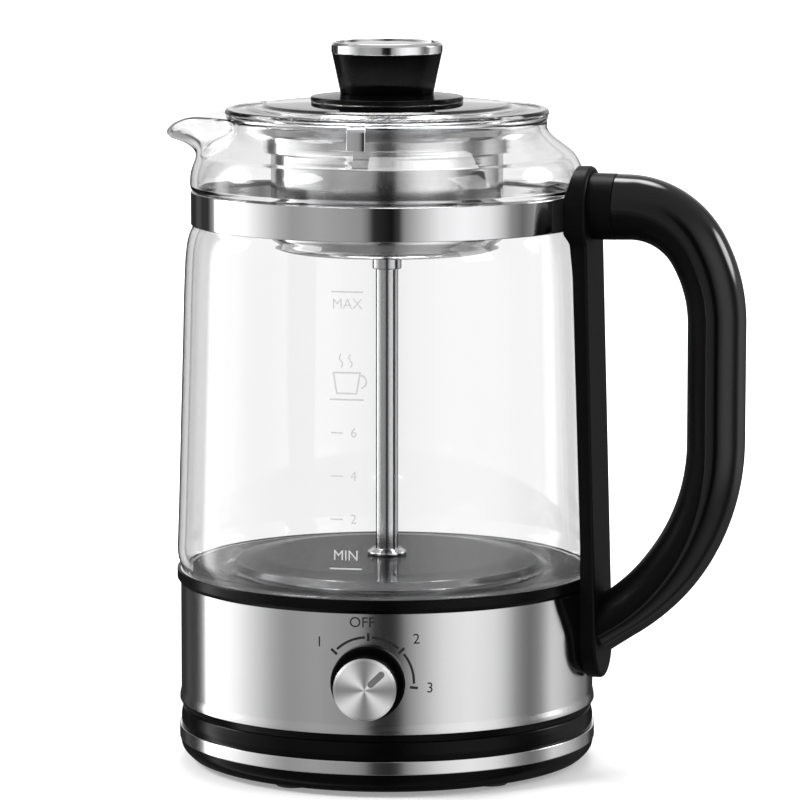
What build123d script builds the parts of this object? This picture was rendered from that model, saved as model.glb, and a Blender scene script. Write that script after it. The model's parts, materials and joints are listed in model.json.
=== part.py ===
from build123d import *
import os
from math import cos, radians, sin, sqrt

# Automatic tea maker: a glass jug on a heated steel foot, with a steam-fed tea basket, on a power base.
# The origin is the centre of the resting plane on the jug's axis. +Z is up, +X points to the handle
# and -X to the spout. Lengths are in millimetres, angles in degrees.

os.makedirs("parts", exist_ok=True)

# ---------------------------------------------------------------- driving dimensions

# power base
foot_height = 0.9
foot_radius = 6.0
foot_sink = 1.0
foot_inset = 2.0
foot_count = 5
tray_overhang = 0.4
tray_edge = 6.8
tray_height = 7.2
tray_wall = 2.2
band_overhang = 0.6
band_wall = 0.9
band_height = 4.6
deck_height = 6.2
deck_lip_inset = 0.1
deck_rest_width = 8.6
deck_wall = 2.0
dish_depth = 2.5
base_screw_inset = 13.0
base_screw_count = 4

# 360 degree connector between the base and the kettle
socket_radius = 17.5
socket_rise = 8.1
socket_flange = 3.5
slot_inner_radius = 8.8
slot_outer_radius = 11.2
slot_depth = 9.5
pin_hole_radius = 3.2
contact_wall = 0.5
pin_radius = 2.2
blade_gap = 0.5
coupler_gap = 0.6
coupler_play = 0.7
coupler_wall = 2.3
coupler_plate = 3.0
coupler_flange = 1.6

# kettle foot: bottom cover, steel sleeve and seat ring
cover_height = 2.4
cover_floor = 2.0
cover_taper = 0.8
cover_wall = 2.2
sleeve_radius = 69.4
sleeve_wall = 0.8
sleeve_height = 39.9
sleeve_flare = 0.5
sleeve_flare_height = 3.1
ring_height = 4.6
ring_overhang = 1.2
ring_floor = 2.0
ring_skirt_depth = 3.2
ring_shelf_width = 8.0
shelf_drop = 0.8
post_radius = 4.0
post_inset = 4.8
post_angles = (90, 214, 326)
tongue_depth = 28.5
tongue_half_width = 16.5
tongue_top_half_width = 25.0
tongue_end_height = 11.0
tongue_wall = 1.5

# heater
plate_wall = 1.0
plate_rim_width = 10.8
groove_width = 5.1
groove_depth = 1.3
hub_slope = 4.9
hub_rise = 3.5
spreader_height = 3.0
spreader_inset = 1.5
tube_inset = 10.0
tube_radius = 4.0
tube_sweep = 300
tube_inlay = 1.0
cold_pin_radius = 2.2
cold_pin_length = 11.0
thermostat_radius = 8.0
thermostat_height = 5.0
fuse_radius = 1.8
fuse_length = 12.0

# electronics
board_length = 44.0
board_width = 30.0
board_thickness = 1.6
board_inset = 25.4
standoff_height = 7.0
standoff_radius = 2.5
relay_length = 19.0
relay_width = 15.0
relay_height = 14.0

# glass jug
glass_wall = 2.4
seal_wall = 0.5
jug_foot_inset = 0.4
jug_heel_height = 2.1
jug_belly_swell = 1.6
jug_belly_height = 12.6
jug_wall_swell = 1.3
jug_shoulder_inset = 1.4
jug_wall_height = 90.4
jug_shoulder_height = 14.4
jug_waist_inset = 3.0
jug_waist_height = 11.4
jug_bulge_swell = 1.1
jug_bulge_height = 12.6
jug_neck_inset = 11.4
jug_neck_height = 20.6
jug_neck_bend = 1.9
jug_lip_height = 3.5
jug_lip_flare = 1.0
spout_length = 11.6
spout_root_half_width = 25.0
spout_tip_half_width = 4.0
spout_tip_drop = 7.9
spout_bend_offset = 5.8
spout_depth = 10.5

# clamp band round the jug's waist
clamp_wall = 0.7
clamp_gap = 0.1
clamp_height = 11.2
ear_reach = 14.0
ear_wall = 1.0
ear_gap = 1.2
ear_height = 5.0
clamp_screw_radius = 1.2

# handle
spine_half_width = 12.5
spine_top_depth = 5.7
spine_bottom_depth = 4.2
spine_tail = 20.3
spine_clearance = 0.4
head_radius = 14.0
head_drop = 8.0
head_fillet = 1.2
stub_rise = 1.95
stub_radius = 10.95
collar_length = 7.9
bend_start = 12.0
upper_bend_radius = 26.6
upper_bend_angle = 60
lower_corner_radius = 49.0
heel_run = 2.6
heel_sink = 0.2
foot_bend_angle = 60
grip_half_depth = 9.6
grip_half_width = 11.0
grip_wall = 2.5
web_thickness = 3.0
seam_shift = 1.5
handle_screw_radius = 1.4
foot_screw_drop = 9.7
foot_screw_spread = 5.6

# selector dial
dial_angle = 11.0
dial_rise = 17.5
dial_reach = 14.2
dial_radius = 10.2
dial_cap_height = 1.4
dial_bevel = 0.8
dial_gap = 0.7
shaft_radius = 3.0
shaft_running_gap = 0.05
shaft_tail = 5.0
shaft_socket = 6.0
bezel_radius = 12.2
bezel_height = 2.5
bezel_boss_radius = 1.8
bezel_boss_offset = 8.5
bracket_radius = 13.5
bracket_thickness = 3.0
bracket_depth = 8.0
bracket_screw_radius = 0.9
bracket_screw_length = 5.0
switch_depth = 10.0
pointer_angle = 46.0
pointer_length = 7.0
pointer_width = 2.2
pointer_depth = 0.4

# tea basket and steam tube
cup_ledge = 2.8
cup_wall = 0.8
cup_corner = 5.0
cup_depth = 33.0
basket_drop = 11.0
sieve_rings = 4
sieve_holes = 6
sieve_first_circle = 10.0
sieve_pitch = 5.5
sieve_hole_radius = 1.0
collar_radius = 41.5
collar_wall = 0.8
collar_height = 6.0
flange_inset = 0.6
flange_width = 4.6
tab_angle = 6.0
tab_width = 6.2
tab_clearance = 4.2
tab_drop = 6.6
tab_wall = 0.8
tube_outer_radius = 3.8
tube_wall = 0.8
tube_clearance = 0.3
tube_above_floor = 16.0
nut_radius = 4.9
nut_height = 6.5
bell_radius = 6.7
bell_height = 2.0
spray_radius = 7.2
spray_height = 7.0
spray_wall = 1.0
strainer_wall = 0.7
strainer_inset = 1.2

# lid
lid_inset = 0.2
lid_rim_height = 2.1
lid_dome_rise = 2.5
lid_wall = 2.5
lid_rim_width = 7.0
lid_skirt_wall = 2.0
lid_skirt_height = 2.3
stud_radius = 2.8
stud_head_radius = 6.0
stud_head_height = 2.0
stud_engagement = 8.0
washer_radius = 8.0
washer_height = 1.2
disc_radius = 25.4
disc_edge = 1.9
disc_crown = 1.0
grip_foot_radius = 15.5
grip_top_radius = 18.3
grip_height = 13.2
trim_radius = 18.5
trim_height = 2.9
trim_wall = 1.6
cap_rise = 1.0

# fits
gap = 0.3
screw_gap = 0.15

# ---------------------------------------------------------------- heights that follow from them

tray_bottom = foot_height
tray_top = tray_bottom + tray_height
deck_bottom = tray_top + band_height
deck_top = deck_bottom + deck_height
dish_floor = deck_top - dish_depth
socket_top = deck_top + socket_rise
coupler_under = socket_top + coupler_gap
coupler_top = coupler_under + coupler_plate
cover_top = deck_top + cover_height
dial_height = cover_top + dial_rise
sleeve_top = cover_top + sleeve_height
foot_screw_height = sleeve_top - foot_screw_drop
ring_top = sleeve_top + ring_height
shelf_top = ring_top - shelf_drop
plate_top = shelf_top + plate_wall
hub_top = plate_top + hub_rise
hub_under = hub_top - plate_wall
spreader_bottom = hub_under - spreader_height
jug_bottom = sleeve_top + ring_floor + seal_wall
wall_bottom = jug_bottom + jug_belly_height
wall_top = wall_bottom + jug_wall_height
waist_bottom = wall_top + jug_shoulder_height
waist_top = waist_bottom + jug_waist_height
neck_height = waist_top + jug_neck_height
jug_top = neck_height + jug_lip_height
clamp_middle = waist_bottom + jug_waist_height / 2
clamp_bottom = clamp_middle - clamp_height / 2
stub_height = clamp_middle + stub_rise
flange_top = jug_top + collar_wall
lid_bottom = flange_top
lid_edge_top = lid_bottom + lid_rim_height
lid_top = lid_edge_top + lid_dome_rise
lid_under = lid_top - lid_wall
disc_top = lid_top + disc_edge
grip_bottom = disc_top + disc_crown
grip_top = grip_bottom + grip_height
trim_top = grip_top + trim_height

# ---------------------------------------------------------------- radii that follow from them

tray_radius = sleeve_radius + tray_overhang
tray_floor_radius = tray_radius - tray_edge
foot_circle = tray_floor_radius - foot_radius - foot_inset
base_screw_circle = foot_circle - base_screw_inset
band_radius = sleeve_radius + band_overhang
deck_lip_radius = sleeve_radius - deck_lip_inset
cover_lower_radius = sleeve_radius - cover_taper
ring_radius = sleeve_radius + ring_overhang
tongue_outer_radius = sleeve_radius + tongue_wall
board_offset = sleeve_radius - board_inset
jug_foot_radius = sleeve_radius - jug_foot_inset
jug_belly_radius = jug_foot_radius + jug_belly_swell
jug_wall_radius = jug_foot_radius + jug_wall_swell
jug_shoulder_radius = jug_foot_radius - jug_shoulder_inset
jug_waist_radius = jug_shoulder_radius - jug_waist_inset
jug_bulge_radius = jug_waist_radius + jug_bulge_swell
jug_neck_radius = jug_waist_radius - jug_neck_inset
jug_rim_radius = jug_neck_radius + jug_lip_flare
ring_inner_wall = jug_foot_radius - glass_wall - seal_wall
post_circle = ring_inner_wall - post_inset
plate_radius = jug_foot_radius - glass_wall - gap
groove_outer_radius = plate_radius - plate_rim_width
groove_inner_radius = groove_outer_radius - groove_width
hub_radius = groove_inner_radius - hub_slope
spreader_radius = hub_radius - spreader_inset
tube_circle = spreader_radius - tube_inset
clamp_inner_radius = jug_waist_radius + clamp_gap
clamp_outer_radius = clamp_inner_radius + clamp_wall
spine_top_x = clamp_outer_radius + spine_top_depth
spine_bottom_x = tongue_outer_radius + spine_bottom_depth
dial_front = sleeve_radius + dial_reach
flange_radius = jug_rim_radius - flange_inset
flange_inner_radius = flange_radius - flange_width
cup_radius = collar_radius - cup_ledge
strainer_radius = cup_radius - cup_corner - strainer_inset
tab_reach = jug_rim_radius + tab_clearance
lid_radius = jug_rim_radius - lid_inset
lid_step_radius = lid_radius - lid_rim_width


def finish(part, label):
    """Name a finished piece and write it to its STEP file."""
    part.label = label
    export_step(part, f"parts/{label}.step")


def dial_plane(distance):
    """Plane square to the dial's axis, at a distance from the kettle's axis; local Y is up."""
    turn = radians(dial_angle)
    outward = (sin(turn), -cos(turn), 0)
    origin = (distance * outward[0], distance * outward[1], dial_height)
    return Plane(origin=origin, x_dir=(cos(turn), sin(turn), 0), z_dir=outward)


dial_axis = Axis(dial_plane(0).origin, dial_plane(0).z_dir)

# ---------------------------------------------------------------- power base

screw_head_radius = 2.6
screw_head_height = 1.6
screw_shank_radius = 1.3
base_screw_length = 9.0

# tray: shallow dish with a rounded edge, recesses for the feet, screw holes and the cord notch
gland_radius = 3.3
gland_flange_radius = 3.6
gland_bore_radius = 2.5
gland_flange = 1.2
gland_height = tray_bottom + tray_height / 2


def tray_face(inset):
    """Half section of the tray's outside, or of its inside when inset is the wall."""
    top = tray_top
    floor = tray_bottom + inset
    with BuildSketch(Plane.XZ) as face:
        with BuildLine():
            edge = Line((0, floor), (tray_floor_radius - inset, floor))
            bulge = (tray_radius - inset - 1.9, floor + (top - floor) * 0.33)
            rise = ThreePointArc(edge @ 1, bulge, (tray_radius - inset, top))
            Polyline(rise @ 1, (0, top), (0, floor))
        make_face()
    return face.sketch


with BuildPart() as base_bottom_shell:
    add(tray_face(0))
    revolve(axis=Axis.Z)
    add(tray_face(tray_wall))
    revolve(axis=Axis.Z, mode=Mode.SUBTRACT)
    with PolarLocations(foot_circle, foot_count, start_angle=36):
        Cylinder(foot_radius + screw_gap, 2 * foot_sink + 2 * tray_bottom, mode=Mode.SUBTRACT)
    with BuildSketch(Plane.XY.offset(tray_bottom)):
        with PolarLocations(base_screw_circle, base_screw_count, start_angle=45):
            Circle(screw_shank_radius + 2.6)
    extrude(amount=tray_wall + 1.4)
    with BuildSketch(Plane.XY.offset(tray_bottom)):
        with PolarLocations(base_screw_circle, base_screw_count, start_angle=45):
            Circle(screw_head_radius + screw_gap)
    extrude(amount=screw_head_height, mode=Mode.SUBTRACT)
    with BuildSketch(Plane.XY):
        with PolarLocations(base_screw_circle, base_screw_count, start_angle=45):
            Circle(screw_shank_radius + screw_gap)
    extrude(amount=tray_top, mode=Mode.SUBTRACT)
    with BuildSketch(Plane.XZ.offset(-tray_radius - 1)):
        with Locations((0, gland_height)):
            Circle(gland_radius)
    extrude(amount=10, mode=Mode.SUBTRACT)
finish(base_bottom_shell.part, "base_bottom_shell")

with BuildPart() as base_feet:
    with BuildSketch():
        with PolarLocations(foot_circle, foot_count, start_angle=36):
            Circle(foot_radius)
    extrude(amount=foot_height + foot_sink)
    chamfer(base_feet.faces().filter_by(Axis.Z).group_by(Axis.Z)[0].edges(), 0.3)
finish(base_feet.part, "base_feet")

with BuildPart() as cord_gland:
    with BuildSketch(Plane.XZ.offset(-tray_radius - gland_flange)):
        with Locations((0, gland_height)):
            Circle(gland_flange_radius)
    extrude(amount=gland_flange)
    with BuildSketch(Plane.XZ.offset(-tray_radius - gland_flange)):
        with Locations((0, gland_height)):
            Circle(gland_radius)
    extrude(amount=gland_flange + 8)
    with BuildSketch(Plane.XZ.offset(-tray_radius - gland_flange)):
        with Locations((0, gland_height)):
            Circle(gland_bore_radius)
    extrude(amount=gland_flange + 8, mode=Mode.SUBTRACT)
finish(cord_gland.part, "cord_gland")

with BuildPart() as base_steel_band:
    with BuildSketch(Plane.XY.offset(tray_top)):
        Circle(band_radius)
        Circle(band_radius - band_wall, mode=Mode.SUBTRACT)
    extrude(amount=band_height)
    fillet(base_steel_band.faces().sort_by(Axis.Z)[-1].edges().sort_by(SortBy.LENGTH)[-1], 0.2)
finish(base_steel_band.part, "base_steel_band")

# deck: lipped rim that the kettle stands on, shallow dish inside it and a skirt inside the steel band
skirt_radius = band_radius - band_wall - 0.1
rest_inner_radius = cover_lower_radius - deck_rest_width
dish_radius = rest_inner_radius - dish_depth
socket_hole_radius = socket_radius + screw_gap

with BuildPart() as base_top_shell:
    with BuildSketch(Plane.XZ):
        with BuildLine():
            low = Polyline(
                (skirt_radius, tray_top),
                (skirt_radius, deck_bottom),
                (deck_lip_radius - 0.2, deck_bottom),
            )
            lip = ThreePointArc(
                low @ 1,
                (deck_lip_radius, deck_bottom + deck_height * 0.5),
                (cover_lower_radius, deck_top),
            )
            Polyline(
                lip @ 1,
                (rest_inner_radius, deck_top),
                (dish_radius, dish_floor),
                (socket_hole_radius, dish_floor),
                (socket_hole_radius, dish_floor - deck_wall),
                (dish_radius - 1, dish_floor - deck_wall),
                (rest_inner_radius - 1, deck_top - deck_wall),
                (skirt_radius - deck_wall, deck_top - deck_wall),
                (skirt_radius - deck_wall, tray_top),
                (skirt_radius, tray_top),
            )
        make_face()
    revolve(axis=Axis.Z)
    boss_foot = tray_bottom + tray_wall + 1.4
    with BuildSketch(Plane.XY.offset(boss_foot)):
        with PolarLocations(base_screw_circle, base_screw_count, start_angle=45):
            Circle(screw_shank_radius + 2.2)
    extrude(amount=dish_floor - deck_wall - boss_foot)
    with BuildSketch(Plane.XY.offset(boss_foot)):
        with PolarLocations(base_screw_circle, base_screw_count, start_angle=45):
            Circle(screw_shank_radius)
    extrude(amount=base_screw_length, mode=Mode.SUBTRACT)
finish(base_top_shell.part, "base_top_shell")

with BuildPart() as base_screws:
    with BuildSketch(Plane.XY.offset(tray_bottom + screw_head_height)):
        with PolarLocations(base_screw_circle, base_screw_count, start_angle=45):
            Circle(screw_head_radius)
    extrude(amount=-screw_head_height + 0.4)
    with BuildSketch(Plane.XY.offset(tray_bottom + screw_head_height)):
        with PolarLocations(base_screw_circle, base_screw_count, start_angle=45):
            Circle(screw_shank_radius)
    extrude(amount=base_screw_length)
finish(base_screws.part, "base_screws")

with BuildPart() as base_socket:
    with BuildSketch(Plane.XY.offset(dish_floor - deck_wall)):
        Circle(socket_radius + socket_flange)
    extrude(amount=-deck_wall)
    with BuildSketch(Plane.XY.offset(dish_floor - deck_wall)):
        Circle(socket_radius)
    extrude(amount=socket_top - dish_floor + deck_wall)
    chamfer(base_socket.faces().sort_by(Axis.Z)[-1].edges(), 0.8)
    with BuildSketch(Plane.XY.offset(socket_top)):
        Circle(slot_outer_radius)
        Circle(slot_inner_radius, mode=Mode.SUBTRACT)
        Circle(pin_hole_radius)
    extrude(amount=-slot_depth, mode=Mode.SUBTRACT)
finish(base_socket.part, "base_socket")

contact_bottom = socket_top - slot_depth
contact_top = socket_top - 1.5
with BuildPart() as base_contacts:
    with BuildSketch(Plane.XY.offset(contact_bottom)):
        Circle(slot_outer_radius)
        Circle(slot_outer_radius - contact_wall, mode=Mode.SUBTRACT)
    extrude(amount=contact_top - contact_bottom)
    with BuildSketch(Plane.XY.offset(contact_bottom)):
        Circle(pin_hole_radius)
        Circle(pin_hole_radius - contact_wall, mode=Mode.SUBTRACT)
    extrude(amount=contact_top - contact_bottom)
finish(base_contacts.part, "base_contacts")

# ---------------------------------------------------------------- connector half on the kettle

coupler_inner_radius = socket_radius + coupler_play
coupler_radius = coupler_inner_radius + coupler_wall
coupler_skirt_bottom = deck_top + 1.3

with BuildPart() as coupler_housing:
    with BuildSketch(Plane.XZ):
        with BuildLine():
            Polyline(
                (0, coupler_under),
                (coupler_inner_radius, coupler_under),
                (coupler_inner_radius, coupler_skirt_bottom),
                (coupler_radius, coupler_skirt_bottom),
                (coupler_radius, coupler_top),
                (coupler_radius + 2.5, coupler_top),
                (coupler_radius + 2.5, coupler_top + coupler_flange),
                (0, coupler_top + coupler_flange),
                close=True,
            )
        make_face()
    revolve(axis=Axis.Z)
finish(coupler_housing.part, "coupler_housing")

blade_outer_radius = slot_outer_radius - contact_wall - blade_gap
blade_bottom = contact_bottom + 1.7
with BuildPart() as coupler_contacts:
    with BuildSketch(Plane.XY.offset(blade_bottom)):
        Circle(blade_outer_radius)
        Circle(slot_inner_radius + blade_gap, mode=Mode.SUBTRACT)
        Circle(pin_radius)
    extrude(amount=coupler_under - blade_bottom)
finish(coupler_contacts.part, "coupler_contacts")

# ---------------------------------------------------------------- kettle foot

well_inner_radius = coupler_radius + gap
well_outer_radius = well_inner_radius + cover_wall
cover_wall_outer = sleeve_radius - sleeve_wall - 0.1
post_screw_head = 1.2

with BuildPart() as bottom_cover:
    with BuildSketch(Plane.XZ):
        with BuildLine():
            Polyline(
                (well_inner_radius, deck_top),
                (cover_lower_radius, deck_top),
                (sleeve_radius + sleeve_flare, cover_top),
                (cover_wall_outer, cover_top),
                (cover_wall_outer, cover_top + 5.5),
                (cover_wall_outer - cover_wall, cover_top + 5.5),
                (cover_wall_outer - cover_wall, deck_top + cover_floor),
                (well_outer_radius, deck_top + cover_floor),
                (well_outer_radius, coupler_top),
                (well_inner_radius, coupler_top),
                close=True,
            )
        make_face()
    revolve(axis=Axis.Z)
    with BuildSketch(Plane.XY.offset(deck_top + cover_floor)):
        with Locations((-board_offset, 0)):
            with GridLocations(board_width - 8, board_length - 8, 2, 2):
                Circle(standoff_radius)
    extrude(amount=standoff_height)
    with BuildSketch(Plane.XY.offset(deck_top)):
        for angle in post_angles:
            with PolarLocations(post_circle, 1, start_angle=angle):
                Circle(screw_head_radius + screw_gap)
    extrude(amount=post_screw_head, mode=Mode.SUBTRACT)
    with BuildSketch(Plane.XY.offset(deck_top)):
        for angle in post_angles:
            with PolarLocations(post_circle, 1, start_angle=angle):
                Circle(screw_shank_radius + screw_gap)
    extrude(amount=cover_floor, mode=Mode.SUBTRACT)
finish(bottom_cover.part, "bottom_cover")

with BuildPart() as bottom_screws:
    with BuildSketch(Plane.XY.offset(deck_top + post_screw_head)):
        for angle in post_angles:
            with PolarLocations(post_circle, 1, start_angle=angle):
                Circle(screw_head_radius)
    extrude(amount=-post_screw_head + 0.3)
    with BuildSketch(Plane.XY.offset(deck_top + post_screw_head)):
        for angle in post_angles:
            with PolarLocations(post_circle, 1, start_angle=angle):
                Circle(screw_shank_radius)
    extrude(amount=base_screw_length)
finish(bottom_screws.part, "bottom_screws")

with BuildPart() as steel_sleeve:
    with BuildSketch(Plane.XZ):
        with BuildLine():
            flare_top = cover_top + sleeve_flare_height
            Polyline(
                (sleeve_radius - sleeve_wall, cover_top),
                (sleeve_radius + sleeve_flare, cover_top),
                (sleeve_radius + sleeve_flare, cover_top + 1.2),
                (sleeve_radius, flare_top),
                (sleeve_radius, sleeve_top),
                (sleeve_radius - sleeve_wall, sleeve_top),
                close=True,
            )
        make_face()
    revolve(axis=Axis.Z)
    with BuildSketch(dial_plane(sleeve_radius - 5)):
        Circle(shaft_radius + 2)
        with GridLocations(2 * bezel_boss_offset, 0, 2, 1):
            Circle(bezel_boss_radius + screw_gap)
    extrude(amount=10, mode=Mode.SUBTRACT)
    with BuildSketch(Plane.YZ.offset(sleeve_radius - 3)):
        with Locations((0, foot_screw_height)):
            with GridLocations(2 * foot_screw_spread, 0, 2, 1):
                Circle(handle_screw_radius + screw_gap)
    extrude(amount=6, mode=Mode.SUBTRACT)
finish(steel_sleeve.part, "steel_sleeve")

# ---------------------------------------------------------------- seat ring with the tongue under the handle

tongue_bottom = sleeve_top - tongue_depth
tongue_shoulder = tongue_bottom + tongue_end_height
tongue_blend = tongue_shoulder + 3

with BuildPart() as tongue:
    with BuildSketch(Plane.YZ.offset(tongue_outer_radius - 8)):
        with BuildLine():
            top = Line((0, sleeve_top), (tongue_top_half_width, sleeve_top))
            waist = (tongue_half_width + 3.2, sleeve_top - tongue_depth * 0.3)
            side = ThreePointArc(top @ 1, waist, (tongue_half_width, tongue_blend))
            Line(side @ 1, (tongue_half_width, tongue_shoulder))
            EllipticalCenterArc((0, tongue_shoulder), tongue_half_width, tongue_end_height, -90, arc_size=90)
            mirror(about=Plane.YZ)
        make_face()
    extrude(amount=12)
    with BuildSketch(Plane.XY.offset(tongue_bottom - 1)):
        Circle(tongue_outer_radius)
        Circle(sleeve_radius, mode=Mode.SUBTRACT)
    extrude(amount=tongue_depth + 2, mode=Mode.INTERSECT)

ring_inner_radius = ring_inner_wall - ring_shelf_width
channel_radius = jug_foot_radius + seal_wall
ring_skirt_radius = sleeve_radius - sleeve_wall - 0.1

with BuildPart() as seat_ring:
    with BuildSketch(Plane.XZ):
        with BuildLine():
            Polyline(
                (ring_inner_radius, sleeve_top),
                (ring_skirt_radius - cover_wall, sleeve_top),
                (ring_skirt_radius - cover_wall, sleeve_top - ring_skirt_depth),
                (ring_skirt_radius, sleeve_top - ring_skirt_depth),
                (ring_skirt_radius, sleeve_top),
                (ring_radius - 0.9, sleeve_top),
                (ring_radius, sleeve_top + 1.2),
                (ring_radius, ring_top),
                (channel_radius, ring_top),
                (channel_radius, sleeve_top + ring_floor),
                (ring_inner_wall, sleeve_top + ring_floor),
                (ring_inner_wall, shelf_top),
                (ring_inner_radius, shelf_top),
                close=True,
            )
        make_face()
    revolve(axis=Axis.Z)
    with BuildSketch(Plane.XY.offset(deck_top + cover_floor)):
        for angle in post_angles:
            with PolarLocations(post_circle, 1, start_angle=angle):
                Circle(post_radius)
    extrude(amount=sleeve_top - deck_top - cover_floor)
    with BuildSketch(Plane.XY.offset(deck_top + cover_floor)):
        for angle in post_angles:
            with PolarLocations(post_circle, 1, start_angle=angle):
                Circle(screw_shank_radius)
    extrude(amount=base_screw_length, mode=Mode.SUBTRACT)
    add(tongue.part)
    with BuildSketch(Plane.YZ.offset(sleeve_radius - 2)):
        with Locations((0, foot_screw_height)):
            with GridLocations(2 * foot_screw_spread, 0, 2, 1):
                Circle(handle_screw_radius + screw_gap)
    extrude(amount=8, mode=Mode.SUBTRACT)
finish(seat_ring.part, "seat_ring")

# ---------------------------------------------------------------- heater under the jug

with BuildPart() as heating_plate:
    with BuildSketch(Plane.XZ):
        with BuildLine():
            groove_top = plate_top - groove_depth
            Polyline(
                (0, hub_top),
                (hub_radius, hub_top),
                (groove_inner_radius, groove_top),
                (groove_outer_radius, groove_top),
                (groove_outer_radius + 0.8, plate_top),
                (plate_radius, plate_top),
                (plate_radius, shelf_top),
                (groove_outer_radius + 0.8 + plate_wall, shelf_top),
                (groove_outer_radius + plate_wall, groove_top - plate_wall),
                (groove_inner_radius - 0.4, groove_top - plate_wall),
                (hub_radius - 0.6, hub_under),
                (0, hub_under),
                close=True,
            )
        make_face()
    revolve(axis=Axis.Z)
finish(heating_plate.part, "heating_plate")

tube_centre_height = spreader_bottom - tube_radius + tube_inlay
tube_start = (360 - tube_sweep) / 2
with BuildPart() as heating_tube:
    with BuildLine():
        route = CenterArc((0, 0, tube_centre_height), tube_circle, tube_start, tube_sweep)
    with BuildSketch(Plane(origin=route @ 0, z_dir=route % 0)):
        Circle(tube_radius)
    sweep()
    with BuildSketch(Plane.XY.offset(tube_centre_height - tube_radius - cold_pin_length)):
        for angle in (tube_start + 4, -tube_start - 4):
            with PolarLocations(tube_circle, 1, start_angle=angle):
                Circle(cold_pin_radius)
    extrude(amount=cold_pin_length + tube_radius)
finish(heating_tube.part, "heating_tube")

with BuildPart() as heat_spreader:
    with BuildSketch(Plane.XY.offset(spreader_bottom)):
        Circle(spreader_radius)
    extrude(amount=spreader_height)
    add(heating_tube.part, mode=Mode.SUBTRACT)
finish(heat_spreader.part, "heat_spreader")

with BuildPart() as thermostat:
    with BuildSketch(Plane.XY.offset(spreader_bottom)):
        Circle(thermostat_radius)
    extrude(amount=-thermostat_height)
    with BuildSketch(Plane.XY.offset(spreader_bottom - thermostat_height)):
        with GridLocations(thermostat_radius, 0, 2, 1):
            Rectangle(3, 0.8)
    extrude(amount=-5)
finish(thermostat.part, "thermostat")

with BuildPart() as thermal_fuse:
    with BuildSketch(Plane.YZ.offset(-fuse_length / 2)):
        with Locations((thermostat_radius + 2 * fuse_radius + 3, spreader_bottom - fuse_radius)):
            Circle(fuse_radius)
    extrude(amount=fuse_length)
finish(thermal_fuse.part, "thermal_fuse")

# ---------------------------------------------------------------- electronics behind the dial

board_bottom = deck_top + cover_floor + standoff_height
with BuildPart() as circuit_board:
    with BuildSketch(Plane.XY.offset(board_bottom)):
        with Locations((-board_offset, 0)):
            Rectangle(board_width, board_length)
    extrude(amount=board_thickness)
    with BuildSketch(Plane.XY.offset(board_bottom + board_thickness)):
        with Locations((-board_offset, board_length / 4)):
            Rectangle(relay_length, relay_width)
    extrude(amount=relay_height)
    with BuildSketch(Plane.XY.offset(board_bottom + board_thickness)):
        with Locations((-board_offset, -board_length / 5)):
            Rectangle(board_width * 0.7, 7)
    extrude(amount=8)
finish(circuit_board.part, "circuit_board")

bezel_front = sleeve_radius + bezel_height
dial_back = bezel_front + dial_gap
bracket_front = sleeve_radius - sleeve_wall - bracket_depth
bracket_back = bracket_front - bracket_thickness
shaft_bore = shaft_radius + shaft_running_gap
shaft_end = bracket_back - shaft_tail

with BuildPart() as dial_bezel:
    with BuildSketch(dial_plane(sleeve_radius - 5)):
        Circle(bezel_radius)
    extrude(amount=bezel_front - sleeve_radius + 5)
    chamfer(dial_bezel.faces().sort_by(dial_axis)[-1].edges(), 0.5)
    Cylinder(sleeve_radius, 4 * dial_height, mode=Mode.SUBTRACT)
    with BuildSketch(dial_plane(bracket_front)):
        with GridLocations(2 * bezel_boss_offset, 0, 2, 1):
            Circle(bezel_boss_radius)
    extrude(amount=bezel_front - bracket_front - 1)
    with BuildSketch(dial_plane(bracket_front)):
        Circle(shaft_bore)
    extrude(amount=bezel_front - bracket_front, mode=Mode.SUBTRACT)
    with BuildSketch(dial_plane(bracket_front)):
        with GridLocations(2 * bezel_boss_offset, 0, 2, 1):
            Circle(bracket_screw_radius)
    extrude(amount=bracket_screw_length, mode=Mode.SUBTRACT)
finish(dial_bezel.part, "dial_bezel")

with BuildPart() as switch_bracket:
    with BuildSketch(dial_plane(bracket_back)):
        Circle(bracket_radius)
        Circle(shaft_bore, mode=Mode.SUBTRACT)
        with GridLocations(2 * bezel_boss_offset, 0, 2, 1):
            Circle(bracket_screw_radius + screw_gap, mode=Mode.SUBTRACT)
    extrude(amount=bracket_thickness)
finish(switch_bracket.part, "switch_bracket")

with BuildPart() as bracket_screws:
    with BuildSketch(dial_plane(bracket_back)):
        with GridLocations(2 * bezel_boss_offset, 0, 2, 1):
            Circle(2 * bracket_screw_radius)
    extrude(amount=-1.2)
    with BuildSketch(dial_plane(bracket_back)):
        with GridLocations(2 * bezel_boss_offset, 0, 2, 1):
            Circle(bracket_screw_radius)
    extrude(amount=bracket_thickness + bracket_screw_length)
finish(bracket_screws.part, "bracket_screws")

switch_side = 2 * (bezel_boss_offset - 2 * bracket_screw_radius) - 0.6
with BuildPart() as rotary_switch:
    with BuildSketch(dial_plane(bracket_back)):
        RectangleRounded(switch_side, switch_side, 1)
    extrude(amount=-switch_depth)
    with BuildSketch(dial_plane(bracket_back)):
        Circle(shaft_bore + gap)
    extrude(amount=-shaft_tail - gap, mode=Mode.SUBTRACT)
    with BuildSketch(dial_plane(bracket_back - switch_depth)):
        with PolarLocations(4, 4, start_angle=45):
            Rectangle(0.8, 1.6)
    extrude(amount=-4)
finish(rotary_switch.part, "rotary_switch")

# ---------------------------------------------------------------- selector dial

cap_back = dial_front - dial_cap_height
with BuildPart() as dial_knob:
    with BuildSketch(dial_plane(dial_back)):
        Circle(dial_radius)
    extrude(amount=cap_back - dial_back)
    with BuildSketch(dial_plane(dial_back)):
        Circle(shaft_radius)
    extrude(amount=shaft_socket, mode=Mode.SUBTRACT)
finish(dial_knob.part, "dial_knob")

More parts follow.
